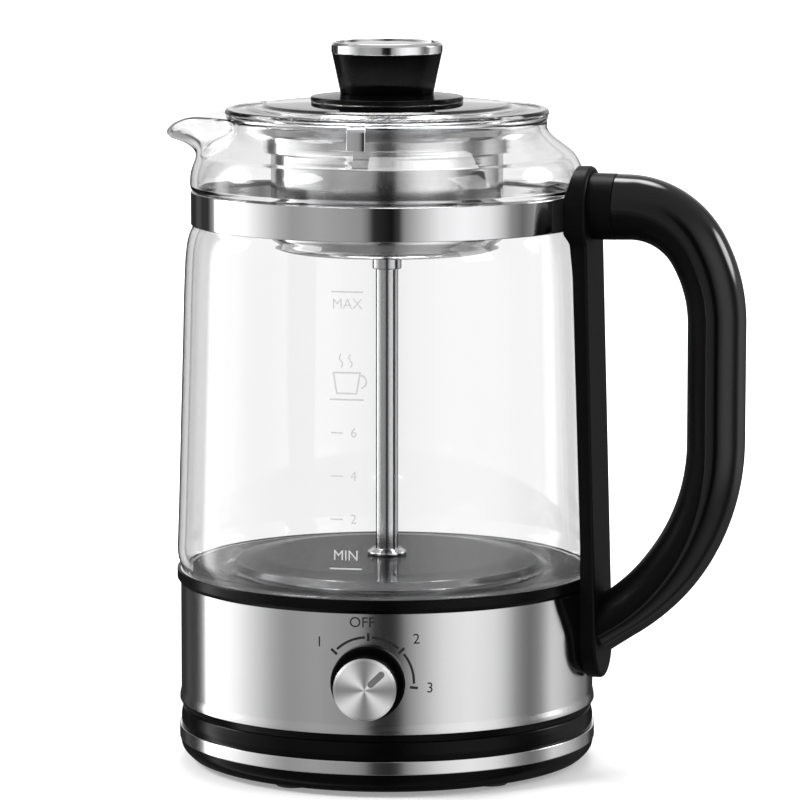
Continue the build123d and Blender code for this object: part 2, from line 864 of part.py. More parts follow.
with BuildPart() as dial_shaft:
    with BuildSketch(dial_plane(shaft_end)):
        Circle(shaft_radius)
    extrude(amount=dial_back + shaft_socket - shaft_end)
finish(dial_shaft.part, "dial_shaft")

pointer_middle = dial_radius - dial_bevel - pointer_length / 2 - 0.4
pointer_turn = radians(pointer_angle)
pointer_place = Location(
    (pointer_middle * sin(pointer_turn), pointer_middle * cos(pointer_turn)), -pointer_angle
)
with BuildPart() as dial_pointer:
    with BuildSketch(dial_plane(dial_front)):
        with Locations(pointer_place):
            SlotOverall(pointer_length, pointer_width, rotation=90)
    extrude(amount=-pointer_depth)
finish(dial_pointer.part, "dial_pointer")

with BuildPart() as dial_cap:
    with BuildSketch(dial_plane(cap_back)):
        Circle(dial_radius)
    extrude(amount=dial_cap_height)
    chamfer(dial_cap.faces().sort_by(dial_axis)[-1].edges(), dial_bevel)
    add(dial_pointer.part, mode=Mode.SUBTRACT)
finish(dial_cap.part, "dial_cap")

# ---------------------------------------------------------------- glass jug


def jug_face(inset, margin):
    """Section through the jug's whole outside, shrunk by inset; it runs past foot and rim by the margin."""
    foot = jug_bottom - margin
    rim = jug_top + margin
    with BuildSketch(Plane.XZ) as face:
        with BuildLine():
            heel_top = jug_bottom + jug_heel_height
            heel = Polyline((0, foot), (jug_foot_radius, foot), (jug_foot_radius, heel_top))
            swell = (jug_belly_radius, jug_bottom + 0.58 * jug_belly_height)
            belly = ThreePointArc(heel @ 1, swell, (jug_wall_radius, wall_bottom))
            side = Line(belly @ 1, (jug_shoulder_radius, wall_top))
            bend = (jug_waist_radius + 0.7 * jug_waist_inset, waist_bottom - 0.38 * jug_shoulder_height)
            shoulder = ThreePointArc(side @ 1, bend, (jug_waist_radius, waist_bottom))
            waist = Line(shoulder @ 1, (jug_waist_radius, waist_top))
            step = Line(waist @ 1, (jug_bulge_radius - 0.02 * jug_bulge_height, waist_top + 0.8))
            bulge = ThreePointArc(
                step @ 1,
                (jug_bulge_radius - 0.024 * jug_bulge_height, waist_top + jug_bulge_height / 2),
                (jug_bulge_radius - 0.25 * jug_bulge_height, waist_top + jug_bulge_height),
            )
            slope = Line(bulge @ 1, (jug_neck_radius + 0.58 * jug_neck_bend, neck_height - jug_neck_bend))
            lip = ThreePointArc(slope @ 1, (jug_neck_radius, neck_height), (jug_rim_radius, jug_top))
            Polyline(lip @ 1, (jug_rim_radius, rim), (0, rim), (0, foot))
        make_face()
        mirror(about=Plane.YZ)
        if inset:
            offset(amount=-inset)
        with Locations((rim, 0)):
            Rectangle(2 * rim, 4 * rim, mode=Mode.INTERSECT)
    return face.sketch


def spout_section(station, inset):
    """Scoop-shaped slice of the spout at one station: a round bottom under a flat open top."""
    distance, half_width, bottom = station
    top = jug_top + 4
    with BuildSketch(Plane.YZ.offset(-distance)) as face:
        with BuildLine():
            bowl = ThreePointArc((-half_width + inset, top), (0, bottom + inset), (half_width - inset, top))
            Line(bowl @ 1, bowl @ 0)
        make_face()
    return face.sketch


spout_reach = jug_bulge_radius + spout_length
spout_floor = jug_top - spout_depth

# distance from the jug's axis, half width at the top and height of the underside
spout_stations = (
    (jug_bulge_radius - 25.7, spout_root_half_width, spout_floor - 12.5),
    (jug_bulge_radius - 9.7, spout_root_half_width - 1.5, spout_floor - 8.5),
    (jug_bulge_radius - 2.7, spout_root_half_width - 4.0, spout_floor - 4.2),
    (jug_bulge_radius + 0.3, spout_root_half_width - 5.5, spout_floor - 2.2),
    (jug_bulge_radius + 0.37 * spout_length, spout_root_half_width - 8.5, spout_floor - 0.2),
    (jug_bulge_radius + 0.72 * spout_length, spout_tip_half_width + 7.5, spout_floor + 0.8),
    (spout_reach, spout_tip_half_width, spout_floor + 1.3),
)

with BuildPart() as above_rim:
    with BuildSketch(Plane.XZ.offset(-jug_belly_radius - 10)):
        with BuildLine():
            nose = (-spout_reach - 1, jug_top - spout_tip_drop)
            edge = TangentArc((-jug_rim_radius - spout_bend_offset, jug_top), nose, tangent=(-1, 0))
            high = jug_top + 10
            far = jug_belly_radius + 10
            Polyline(edge @ 1, (-spout_reach - 1, high), (far, high), (far, jug_top), edge @ 0)
        make_face()
    extrude(amount=2 * far)

with BuildPart() as glass_jug:
    add(jug_face(0, glass_wall))
    revolve(axis=Axis.Z)
    split(bisect_by=Plane.XY.offset(jug_bottom), keep=Keep.TOP)
    for station in spout_stations:
        add(spout_section(station, 0))
    loft()
    add(jug_face(glass_wall, 2 * glass_wall))
    revolve(axis=Axis.Z, mode=Mode.SUBTRACT)
    for distance, half_width, bottom in spout_stations:
        add(spout_section((distance + 0.5, half_width, bottom), glass_wall))
    loft(mode=Mode.SUBTRACT)
    add(above_rim.part, mode=Mode.SUBTRACT)
finish(glass_jug.part, "glass_jug")

with BuildPart() as jug_seal:
    with BuildSketch(Plane.XZ):
        with BuildLine():
            Polyline(
                (ring_inner_wall, sleeve_top + ring_floor),
                (channel_radius, sleeve_top + ring_floor),
                (channel_radius, ring_top),
                (jug_foot_radius, ring_top),
                (jug_foot_radius, jug_bottom),
                (jug_foot_radius - glass_wall, jug_bottom),
                (jug_foot_radius - glass_wall, shelf_top),
                (ring_inner_wall, shelf_top),
                close=True,
            )
        make_face()
    revolve(axis=Axis.Z)
finish(jug_seal.part, "jug_seal")

# ---------------------------------------------------------------- clamp band round the waist

ear_outer_half = ear_gap / 2 + ear_wall
ear_end = clamp_outer_radius + ear_reach
clamp_screw_x = ear_end - 2 * clamp_screw_radius - 0.4

with BuildPart() as shoulder_band:
    with BuildSketch(Plane.XY.offset(clamp_bottom)):
        Circle(clamp_outer_radius)
    extrude(amount=clamp_height)
    with BuildSketch(Plane.XY.offset(clamp_middle - ear_height / 2)):
        with Locations(((clamp_outer_radius + ear_end) / 2 - 1, 0)):
            Rectangle(ear_end - clamp_outer_radius + 2, 2 * ear_outer_half)
    extrude(amount=ear_height)
    with BuildSketch(Plane.XY.offset(clamp_bottom)):
        Circle(clamp_inner_radius)
        with Locations((ear_end, 0)):
            Rectangle(2 * (ear_end - clamp_inner_radius) + 4, ear_gap)
    extrude(amount=clamp_height, mode=Mode.SUBTRACT)
    with BuildSketch(Plane.XZ.offset(-ear_outer_half)):
        with Locations((clamp_screw_x, clamp_middle)):
            Circle(clamp_screw_radius + screw_gap)
    extrude(amount=2 * ear_outer_half, mode=Mode.SUBTRACT)
finish(shoulder_band.part, "shoulder_band")

with BuildPart() as clamp_screw:
    with BuildSketch(Plane.XZ.offset(-ear_outer_half)):
        with Locations((clamp_screw_x, clamp_middle)):
            Circle(2 * clamp_screw_radius)
    extrude(amount=-1.4)
    with BuildSketch(Plane.XZ.offset(-ear_outer_half)):
        with Locations((clamp_screw_x, clamp_middle)):
            Circle(clamp_screw_radius)
    extrude(amount=2 * ear_outer_half + 2.6)
    with BuildSketch(Plane.XZ.offset(ear_outer_half)):
        with Locations((clamp_screw_x, clamp_middle)):
            RegularPolygon(2 * clamp_screw_radius, 6)
    extrude(amount=1.8)
finish(clamp_screw.part, "clamp_screw")

# ---------------------------------------------------------------- handle

spine_lean = (spine_bottom_x - spine_top_x) / (stub_height - foot_screw_height)
head_middle = stub_height - 0.75
# half size of the blocks that cut the handle's parts
cutter = 45.0
spine_low = foot_screw_height - spine_tail
collar_end = spine_top_x + collar_length
upper_turn = radians(upper_bend_angle)
foot_turn = radians(foot_bend_angle)
bend_x = spine_top_x + bend_start
grip_x = bend_x + upper_bend_radius * sin(upper_turn) + lower_corner_radius * (1 - sin(upper_turn))
foot_bend_radius = (grip_x - spine_bottom_x - heel_run) / (1 - cos(foot_turn))
upper_drop = upper_bend_radius * (1 - cos(upper_turn)) + lower_corner_radius * cos(upper_turn)
foot_drop = foot_bend_radius * sin(foot_turn)
grip_length = stub_height - upper_drop - foot_drop - foot_screw_height + heel_sink


def spine_front(height):
    """Distance of the spine's flat outer face from the jug's axis at a height."""
    return spine_top_x + (stub_height - height) * spine_lean


with BuildPart() as behind_spine:
    with BuildSketch(Plane.XZ.offset(-cutter)):
        top = stub_height + cutter
        low = spine_low - cutter
        Polygon((0, low), (spine_front(low), low), (spine_front(top), top), (0, top), align=None)
    extrude(amount=2 * cutter)

with BuildPart() as handle_spine:
    with BuildSketch(Plane.YZ.offset(spine_top_x - 12)):
        with BuildLine():
            arch = CenterArc((0, head_middle), head_radius, 0, 90)
            cheek = Line(arch @ 0, (head_radius, head_middle - head_drop))
            step = Line(cheek @ 1, (spine_half_width, head_middle - head_drop - 3))
            Line(step @ 1, (spine_half_width, spine_low + spine_half_width))
            CenterArc((0, spine_low + spine_half_width), spine_half_width, -90, 90)
            mirror(about=Plane.YZ)
        make_face()
    extrude(amount=24)
    add(behind_spine.part, mode=Mode.INTERSECT)
    outer_edges = handle_spine.faces().sort_by(Axis.X)[-1].edges()
    fillet(outer_edges, head_fillet)
    with BuildSketch(Plane.XZ):
        with BuildLine():
            Polyline(
                (0, spine_low - 5),
                (tongue_outer_radius, spine_low - 5),
                (tongue_outer_radius, ring_top),
                (jug_belly_radius + spine_clearance, ring_top + 1),
                (jug_belly_radius + spine_clearance, wall_bottom),
                (jug_shoulder_radius + spine_clearance, wall_top),
                (clamp_outer_radius + 1.6, clamp_bottom - 3.5),
                (clamp_outer_radius, clamp_bottom - 0.5),
                (clamp_outer_radius, waist_top),
                (jug_bulge_radius + spine_clearance, waist_top + 2),
                (jug_bulge_radius + spine_clearance, jug_top),
                (0, jug_top),
                close=True,
            )
        make_face()
    revolve(axis=Axis.Z, mode=Mode.SUBTRACT)
    with BuildSketch(Plane.YZ.offset(clamp_outer_radius - 3)):
        with Locations((0, clamp_middle)):
            Rectangle(2 * ear_outer_half + 0.4, ear_height + 0.4)
    extrude(amount=12, mode=Mode.SUBTRACT)
    with BuildSketch(Plane.YZ.offset(clamp_outer_radius - 3)):
        with Locations((0, foot_screw_height)):
            with GridLocations(2 * foot_screw_spread, 0, 2, 1):
                Circle(handle_screw_radius + screw_gap)
    extrude(amount=20, mode=Mode.SUBTRACT)
finish(handle_spine.part, "handle_spine")


def handle_route(plane, shift):
    """Line through the handle from the top collar to the foot, moved towards the jug by shift."""
    with BuildLine(plane) as route:
        lead = Line((spine_top_x - 6, stub_height - shift), (bend_x, stub_height - shift))
        crown = JernArc(lead @ 1, lead % 1, upper_bend_radius - shift, -upper_bend_angle)
        corner = JernArc(crown @ 1, crown % 1, lower_corner_radius - shift, upper_bend_angle - 90)
        grip = Line(corner @ 1, corner @ 1 + (corner % 1) * grip_length)
        heel = JernArc(grip @ 1, grip % 1, foot_bend_radius - shift, -foot_bend_angle)
        Line(heel @ 1, heel @ 1 + (heel % 1) * 12)
    return route.line


def handle_tube(half_depth, half_width):
    """Oval bar along the middle of the handle, cut off at the spine's outer face."""
    route = handle_route(Plane.XZ, 0)
    with BuildPart() as bar:
        with BuildSketch(Plane(origin=route @ 0, x_dir=(0, 1, 0), z_dir=route % 0)):
            Ellipse(half_width, half_depth)
        sweep(path=route)
        add(behind_spine.part, mode=Mode.SUBTRACT)
    return bar.part


with BuildPart() as outer_side:
    seam = handle_route(Plane.XY, seam_shift)
    near_x = (seam @ 1).X
    far_x = grip_x + cutter
    low = spine_low - cutter
    high = stub_height + cutter
    with BuildSketch(Plane.XZ.offset(-cutter)):
        with BuildLine():
            add(seam)
            Polyline(seam @ 1, (near_x, low), (far_x, low), (far_x, high), ((seam @ 0).X, high), seam @ 0)
        make_face()
    extrude(amount=2 * cutter)
    with BuildSketch(Plane.YZ.offset(collar_end)):
        with Locations((0, stub_height)):
            Rectangle(2 * cutter, 2 * cutter)
    extrude(amount=-cutter, mode=Mode.SUBTRACT)

handle_bar = handle_tube(grip_half_depth, grip_half_width)
handle_core = handle_tube(grip_half_depth - grip_wall, grip_half_width - grip_wall)

with BuildPart() as handle_outer_shell:
    add(handle_bar)
    add(handle_core, mode=Mode.SUBTRACT)
    add(outer_side.part, mode=Mode.INTERSECT)
finish(handle_outer_shell.part, "handle_outer_shell")

with BuildPart() as foot_web:
    add(handle_bar)
    with BuildSketch(Plane.XZ.offset(-cutter)):
        low = spine_low - cutter
        high = stub_height / 2
        Polygon(
            (spine_front(low), low),
            (spine_front(low) + web_thickness, low),
            (spine_front(high) + web_thickness, high),
            (spine_front(high), high),
            align=None,
        )
    extrude(amount=2 * cutter, mode=Mode.INTERSECT)

with BuildPart() as handle_inner_shell:
    add(handle_bar)
    with BuildSketch(Plane.YZ.offset(spine_top_x - 4)):
        with Locations((0, stub_height)):
            Circle(stub_radius)
    extrude(amount=collar_length + 4)
    add(handle_core, mode=Mode.SUBTRACT)
    with BuildSketch(Plane.YZ.offset(spine_top_x - 4)):
        with Locations((0, stub_height)):
            Circle(stub_radius - 1)
    extrude(amount=web_thickness + 4)
    add(foot_web.part)
    add(outer_side.part, mode=Mode.SUBTRACT)
    add(behind_spine.part, mode=Mode.SUBTRACT)
    with BuildSketch(Plane.YZ.offset(spine_top_x - 4)):
        with Locations((0, clamp_middle)):
            Rectangle(2 * ear_outer_half + 0.4, ear_height + 0.4)
    extrude(amount=web_thickness + 5, mode=Mode.SUBTRACT)
    with BuildSketch(Plane.YZ.offset(spine_top_x)):
        with Locations((0, foot_screw_height)):
            with GridLocations(2 * foot_screw_spread, 0, 2, 1):
                Circle(handle_screw_radius)
    extrude(amount=20, mode=Mode.SUBTRACT)
finish(handle_inner_shell.part, "handle_inner_shell")

with BuildPart() as handle_screws:
    with BuildSketch(Plane.YZ.offset(sleeve_radius - sleeve_wall - 0.6)):
        with Locations((0, foot_screw_height)):
            with GridLocations(2 * foot_screw_spread, 0, 2, 1):
                Circle(2 * handle_screw_radius)
    extrude(amount=-1.6)
    with BuildSketch(Plane.YZ.offset(sleeve_radius - sleeve_wall - 0.6)):
        with Locations((0, foot_screw_height)):
            with GridLocations(2 * foot_screw_spread, 0, 2, 1):
                Circle(handle_screw_radius)
    extrude(amount=spine_front(foot_screw_height) + web_thickness - sleeve_radius + sleeve_wall + 0.6)
finish(handle_screws.part, "handle_screws")

# ---------------------------------------------------------------- tea basket and steam tube

cup_top = jug_top - basket_drop
cup_bottom = cup_top - cup_depth
collar_bottom = cup_top - collar_wall
collar_top = collar_bottom + collar_height
tab_turn = radians(tab_angle)
tab_plane = Plane(
    origin=(0, 0, 0),
    x_dir=(sin(tab_turn), -cos(tab_turn), 0),
    z_dir=(-cos(tab_turn), -sin(tab_turn), 0),
)

with BuildPart() as basket_cup:
    with BuildSketch(Plane.XZ):
        with BuildLine():
            floor = Line((0, cup_bottom), (cup_radius - cup_corner, cup_bottom))
            corner = JernArc(floor @ 1, (1, 0), cup_corner, 90)
            wall = Line(corner @ 1, (cup_radius, cup_top - 1.0))
            Polyline(
                wall @ 1,
                (cup_radius, cup_top),
                (collar_radius - collar_wall - 0.4, cup_top),
                (collar_radius - collar_wall - 0.4, cup_top + cup_wall),
                (cup_radius - cup_wall, cup_top + cup_wall),
                (cup_radius - cup_wall, cup_bottom + cup_corner),
            )
            centre = (cup_radius - cup_corner, cup_bottom + cup_corner)
            inside = CenterArc(centre, cup_corner - cup_wall, -90, 90)
            Polyline(inside @ 0, (0, cup_bottom + cup_wall), (0, cup_bottom))
        make_face()
    revolve(axis=Axis.Z)
    with BuildSketch(Plane.XY.offset(cup_bottom - 1)):
        Circle(tube_outer_radius)
        for ring in range(sieve_rings):
            with PolarLocations(sieve_first_circle + ring * sieve_pitch, sieve_holes * (ring + 2)):
                Circle(sieve_hole_radius)
    extrude(amount=2 + cup_wall, mode=Mode.SUBTRACT)
finish(basket_cup.part, "basket_cup")

with BuildPart() as basket_collar:
    with BuildSketch(Plane.XZ):
        with BuildLine():
            Polyline(
                (cup_radius, collar_bottom),
                (collar_radius, collar_bottom),
                (collar_radius, collar_top),
                (flange_inner_radius, jug_top),
                (flange_radius, jug_top),
                (flange_radius, flange_top),
                (flange_inner_radius - collar_wall, flange_top),
                (collar_radius - collar_wall, collar_top + collar_wall / 2),
                (collar_radius - collar_wall, cup_top),
                (cup_radius, cup_top),
                close=True,
            )
        make_face()
    revolve(axis=Axis.Z)
    with BuildSketch(tab_plane.offset(-tab_width / 2)):
        Polygon(
            (flange_radius - 1, jug_top),
            (flange_radius - 1, flange_top),
            (tab_reach - 1.2, flange_top),
            (tab_reach, flange_top - 1.2),
            (tab_reach, jug_top - tab_drop),
            (tab_reach - tab_wall, jug_top - tab_drop),
            (tab_reach - tab_wall, jug_top),
            align=None,
        )
    extrude(amount=tab_width)
finish(basket_collar.part, "basket_collar")

with BuildPart() as strainer_plate:
    with BuildSketch(Plane.XY.offset(cup_bottom + cup_wall)):
        Circle(strainer_radius)
        Circle(nut_radius + gap, mode=Mode.SUBTRACT)
        for ring in range(sieve_rings + 1):
            with PolarLocations(sieve_first_circle + ring * sieve_pitch, sieve_holes * (ring + 2)):
                Circle(sieve_hole_radius, mode=Mode.SUBTRACT)
    extrude(amount=strainer_wall)
finish(strainer_plate.part, "strainer_plate")

tube_bottom = hub_top + tube_clearance
tube_top = cup_bottom + cup_wall + tube_above_floor
tube_bore = tube_outer_radius - tube_wall
with BuildPart() as steam_tube:
    with BuildSketch(Plane.XY.offset(tube_bottom)):
        Circle(tube_outer_radius)
        Circle(tube_bore, mode=Mode.SUBTRACT)
    extrude(amount=tube_top - tube_bottom)
finish(steam_tube.part, "steam_tube")

with BuildPart() as tube_foot:
    with BuildSketch(Plane.XZ):
        with BuildLine():
            Polyline(
                (tube_outer_radius, tube_bottom + bell_height),
                (tube_outer_radius, tube_bottom),
                (bell_radius, tube_bottom),
                (bell_radius, tube_bottom + bell_height * 0.45),
                (tube_outer_radius + 1, tube_bottom + bell_height),
                close=True,
            )
        make_face()
    revolve(axis=Axis.Z)
finish(tube_foot.part, "tube_foot")

with BuildPart() as tube_nut:
    with BuildSketch(Plane.XY.offset(cup_bottom)):
        Circle(nut_radius)
        Circle(tube_outer_radius, mode=Mode.SUBTRACT)
    extrude(amount=-nut_height)
    with BuildSketch(Plane.XY.offset(cup_bottom + cup_wall)):
        RegularPolygon(nut_radius, 6)
        Circle(tube_outer_radius, mode=Mode.SUBTRACT)
    extrude(amount=nut_height / 2)
finish(tube_nut.part, "tube_nut")

with BuildPart() as spray_cap:
    with BuildSketch(Plane.XY.offset(tube_top - 3)):
        Circle(spray_radius)
    extrude(amount=spray_height)
    fillet(spray_cap.faces().sort_by(Axis.Z)[-1].edges(), 2.5)
    with BuildSketch(Plane.XY.offset(tube_top - 3)):
        Circle(tube_outer_radius)
    extrude(amount=3, mode=Mode.SUBTRACT)
    with BuildSketch(Plane.XY.offset(tube_top)):
        Circle(spray_radius - spray_wall)
    extrude(amount=spray_height - 3 - spray_wall - 1.5, mode=Mode.SUBTRACT)
    with BuildSketch(Plane.XZ.offset(-spray_radius)):
        with Locations((0, tube_top + 1)):
            Rectangle(1.4, 1.4)
    extrude(amount=2 * spray_radius, mode=Mode.SUBTRACT)
    with BuildSketch(Plane.YZ.offset(-spray_radius)):
        with Locations((0, tube_top + 1)):
            Rectangle(1.4, 1.4)
    extrude(amount=2 * spray_radius, mode=Mode.SUBTRACT)
finish(spray_cap.part, "spray_cap")

# ---------------------------------------------------------------- lid

collar_slope = (flange_inner_radius - collar_radius) / (flange_top - collar_top - collar_wall / 2)
lid_skirt_radius = flange_inner_radius - collar_wall - lid_skirt_height * collar_slope - 2 * gap

with BuildPart() as lid_glass:
    with BuildSketch(Plane.XZ):
        with BuildLine():
            edge = Polyline(
                (0, lid_under),
                (lid_skirt_radius - lid_skirt_wall, lid_under),
                (lid_skirt_radius - lid_skirt_wall, lid_bottom - lid_skirt_height),
                (lid_skirt_radius, lid_bottom - lid_skirt_height),
                (lid_skirt_radius, lid_bottom),
                (lid_radius - 0.5, lid_bottom),
                (lid_radius, lid_bottom + 0.5),
            )
            bead = (lid_radius - 0.4, lid_edge_top - 0.4)
            rim = ThreePointArc(edge @ 1, bead, (lid_radius - 1.6, lid_edge_top))
            shelf = Line(rim @ 1, (lid_step_radius, lid_edge_top + 0.3))
            dome = ThreePointArc(shelf @ 1, (lid_step_radius - 9, lid_top - 0.6), (disc_radius, lid_top))
            Polyline(dome @ 1, (0, lid_top), (0, lid_under))
        make_face()
    revolve(axis=Axis.Z)
    with BuildSketch(Plane.XY.offset(lid_under)):
        Circle(stud_radius + gap)
    extrude(amount=lid_wall, mode=Mode.SUBTRACT)
finish(lid_glass.part, "lid_glass")

with BuildPart() as lid_washer:
    with BuildSketch(Plane.XY.offset(lid_under)):
        Circle(washer_radius)
        Circle(stud_radius, mode=Mode.SUBTRACT)
    extrude(amount=-washer_height)
finish(lid_washer.part, "lid_washer")

stud_bottom = lid_under - washer_height
stud_top = grip_bottom + stud_engagement
with BuildPart() as lid_screw:
    with BuildSketch(Plane.XY.offset(stud_bottom)):
        Circle(stud_head_radius)
    extrude(amount=-stud_head_height)
    fillet(lid_screw.faces().sort_by(Axis.Z)[0].edges(), 0.8)
    with BuildSketch(Plane.XY.offset(stud_bottom)):
        Circle(stud_radius)
    extrude(amount=stud_top - stud_bottom)
finish(lid_screw.part, "lid_screw")

with BuildPart() as lid_disc:
    with BuildSketch(Plane.XZ):
        with BuildLine():
            Polyline(
                (stud_radius, lid_top),
                (disc_radius, lid_top),
                (disc_radius, disc_top - 0.3),
                (disc_radius - 0.3, disc_top),
                (grip_foot_radius, grip_bottom),
                (stud_radius, grip_bottom),
                close=True,
            )
        make_face()
    revolve(axis=Axis.Z)
finish(lid_disc.part, "lid_disc")

with BuildPart() as lid_grip:
    with BuildSketch(Plane.XZ):
        with BuildLine():
            Polyline(
                (stud_radius, grip_bottom),
                (grip_foot_radius, grip_bottom),
                (grip_top_radius, grip_top),
                (trim_radius - trim_wall, grip_top),
                (trim_radius - trim_wall, grip_top - 2),
                (grip_foot_radius - grip_wall, grip_top - 2),
                (grip_foot_radius - grip_wall, stud_top),
                (stud_radius, stud_top),
                close=True,
            )
        make_face()
    revolve(axis=Axis.Z)
finish(lid_grip.part, "lid_grip")

with BuildPart() as lid_trim_ring:
    with BuildSketch(Plane.XY.offset(grip_top)):
        Circle(trim_radius)
        Circle(trim_radius - trim_wall, mode=Mode.SUBTRACT)
    extrude(amount=trim_height)
    rims = lid_trim_ring.edges().filter_by(GeomType.CIRCLE).sort_by(SortBy.LENGTH)[-2:]
    fillet(rims, 0.4)
finish(lid_trim_ring.part, "lid_trim_ring")

with BuildPart() as lid_cap:
    with BuildSketch(Plane.XZ):
        with BuildLine():
            side = Polyline(
                (0, grip_top - 2),
                (trim_radius - trim_wall, grip_top - 2),
                (trim_radius - trim_wall, trim_top),
            )
            crown = TangentArc((0, trim_top + cap_rise), side @ 1, tangent=(1, 0))
            Line(crown @ 0, (0, grip_top - 2))
        make_face()
    revolve(axis=Axis.Z)
finish(lid_cap.part, "lid_cap")
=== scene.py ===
"""Automatic tea maker: finished look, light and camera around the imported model. Lengths are written in mm."""

import json
from math import cos, degrees, pi, radians, sin, tan

import bpy
import numpy as np
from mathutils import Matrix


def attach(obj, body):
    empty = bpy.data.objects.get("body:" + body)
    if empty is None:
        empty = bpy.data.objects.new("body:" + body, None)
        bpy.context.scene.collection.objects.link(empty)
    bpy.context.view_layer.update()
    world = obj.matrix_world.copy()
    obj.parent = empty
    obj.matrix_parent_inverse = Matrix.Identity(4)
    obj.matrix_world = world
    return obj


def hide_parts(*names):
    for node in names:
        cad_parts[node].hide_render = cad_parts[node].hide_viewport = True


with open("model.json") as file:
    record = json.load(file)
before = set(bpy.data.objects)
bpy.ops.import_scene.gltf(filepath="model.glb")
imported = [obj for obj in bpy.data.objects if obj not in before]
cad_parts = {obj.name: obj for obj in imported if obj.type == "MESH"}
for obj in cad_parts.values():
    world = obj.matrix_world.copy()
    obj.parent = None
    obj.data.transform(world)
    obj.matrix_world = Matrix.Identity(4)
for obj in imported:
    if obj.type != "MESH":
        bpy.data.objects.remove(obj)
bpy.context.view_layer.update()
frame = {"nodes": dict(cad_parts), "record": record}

MM = 0.001
TURN = 2 * pi

# where the parts lie
waist_low = 181.2
waist_high = 192.4
rim_top = 216.5
print_side = radians(5.1)
dial_side = radians(11.0)
dial_height = 38.8
sleeve_radius = 69.4
tab_side = radians(6.0)

# ---------------------------------------------------------------- meshes


def add_piece(name, points, faces, body, nodes, material, sharp=32, uv=None):
    """Makes a mesh object from points in mm and faces. Edges sharper than the angle in degrees stay crisp."""
    mesh = bpy.data.meshes.new(name)
    mesh.from_pydata((np.asarray(points, float) * MM).tolist(), [], faces)
    if uv is not None:
        loops = np.zeros(len(mesh.loops), np.int32)
        mesh.loops.foreach_get("vertex_index", loops)
        layer = mesh.uv_layers.new(name="UVMap")
        layer.data.foreach_set("uv", np.asarray(uv, np.float32)[loops].ravel())
    mesh.validate()
    mesh.shade_smooth()
    mesh.set_sharp_from_angle(angle=radians(sharp))
    piece = bpy.data.objects.new(name, mesh)
    bpy.context.scene.collection.objects.link(piece)
    mesh.materials.append(material)
    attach(piece, body)
    if nodes:
        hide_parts(*nodes)
    return piece


def grid_faces(rows, columns, wrap_rows, wrap_columns):
    """Four-sided faces of a grid of points numbered row by row. A wrapped direction joins end to start."""
    row = np.arange(rows if wrap_rows else rows - 1)[:, None]
    column = np.arange(columns if wrap_columns else columns - 1)[None, :]
    up = (row + 1) % rows
    along = (column + 1) % columns
    corners = (row * columns + column, row * columns + along, up * columns + along, up * columns + column)
    return np.stack(np.broadcast_arrays(*corners), -1).reshape(-1, 4).tolist()


def rounded(corners, closed=True):
    """Profile points in which each corner becomes a short arc tangent to both of its sides.

    corners holds (radius, height) or (radius, height, rounding). The arc keeps to 45 % of the shorter side.
    One point is added beside each end of an arc, so that smooth shading stays within the corner.
    """
    flat = [np.array(c[:2], float) for c in corners]
    count = len(flat)
    line = []
    for i, corner in enumerate(corners):
        here = flat[i]
        bend = corner[2] if len(corner) > 2 else 0
        at_end = not closed and i in (0, count - 1)
        if bend == 0 or at_end:
            line.append(here)
            continue
        back = flat[i - 1] - here
        ahead = flat[(i + 1) % count] - here
        back_length = np.linalg.norm(back)
        ahead_length = np.linalg.norm(ahead)
        back = back / back_length
        ahead = ahead / ahead_length
        half = np.arccos(np.clip(back @ ahead, -1, 1)) / 2
        reach = min(bend / tan(half), 0.45 * back_length, 0.45 * ahead_length)
        bend = reach * tan(half)
        middle = here + (back + ahead) / np.linalg.norm(back + ahead) * bend / sin(half)
        first = here + back * reach - middle
        last = here + ahead * reach - middle
        sweep = pi - 2 * half
        steps = max(3, int(degrees(sweep) / 11) + 1)
        share = np.linspace(0, 1, steps)[:, None]
        arc = middle + (np.sin((1 - share) * sweep) * first + np.sin(share * sweep) * last) / sin(sweep)
        line.append(here + back * min(reach + 0.3, 0.6 * back_length, reach * 1.6))
        line.extend(arc)
        line.append(here + ahead * min(reach + 0.3, 0.6 * ahead_length, reach * 1.6))
    return np.array(line)


def turned_points(profile, segments, upright=True):
    """Points and faces of a profile turned a full circle, with one point where the profile meets the axis."""
    profile = np.asarray(profile, float)
    on_axis = profile[:, 0] < 1e-6
    angle = np.arange(segments + 1) * TURN / segments
    radius = profile[:, 0][:, None]
    points = np.stack(
        (
            radius * np.cos(angle),
            radius * np.sin(angle),
            np.broadcast_to(profile[:, 1][:, None], (len(profile), segments + 1)),
        ),
        -1,
    )
    length = np.concatenate(([0], np.cumsum(np.linalg.norm(np.diff(profile, axis=0), axis=1))))
    uv = np.stack(np.broadcast_arrays((angle / TURN)[None, :], length[:, None] * 0.01), -1)
    closed = not on_axis.any()
    faces = grid_faces(len(profile), segments + 1, closed, False)
    if closed:
        return points.reshape(-1, 3), faces, uv.reshape(-1, 2)
    keep = np.array(faces).reshape(len(profile) - 1, segments, 4)
    both = on_axis[:-1] & on_axis[1:]
    return points.reshape(-1, 3), keep[~both].reshape(-1, 4).tolist(), uv.reshape(-1, 2)


def turned(name, body, nodes, material, corners, segments=224, sharp=32, place=None):
    """A body of revolution. corners goes outwards along the underside, up the outside and back over the top.

    place moves the finished points, such as onto the dial's axis.
    """
    closed = all(c[0] > 1e-6 for c in corners)
    points, faces, uv = turned_points(rounded(corners, closed), segments)
    if place is not None:
        points = place(points)
    piece = add_piece(name, points, faces, body, nodes, material, sharp, uv)
    weld(piece)
    return piece


def weld(piece):
    """Joins points that lie at the same spot, so that the seam of a turned body shades as one surface."""
    joined = piece.modifiers.new("joined seam", "WELD")
    joined.merge_threshold = 0.002 * MM


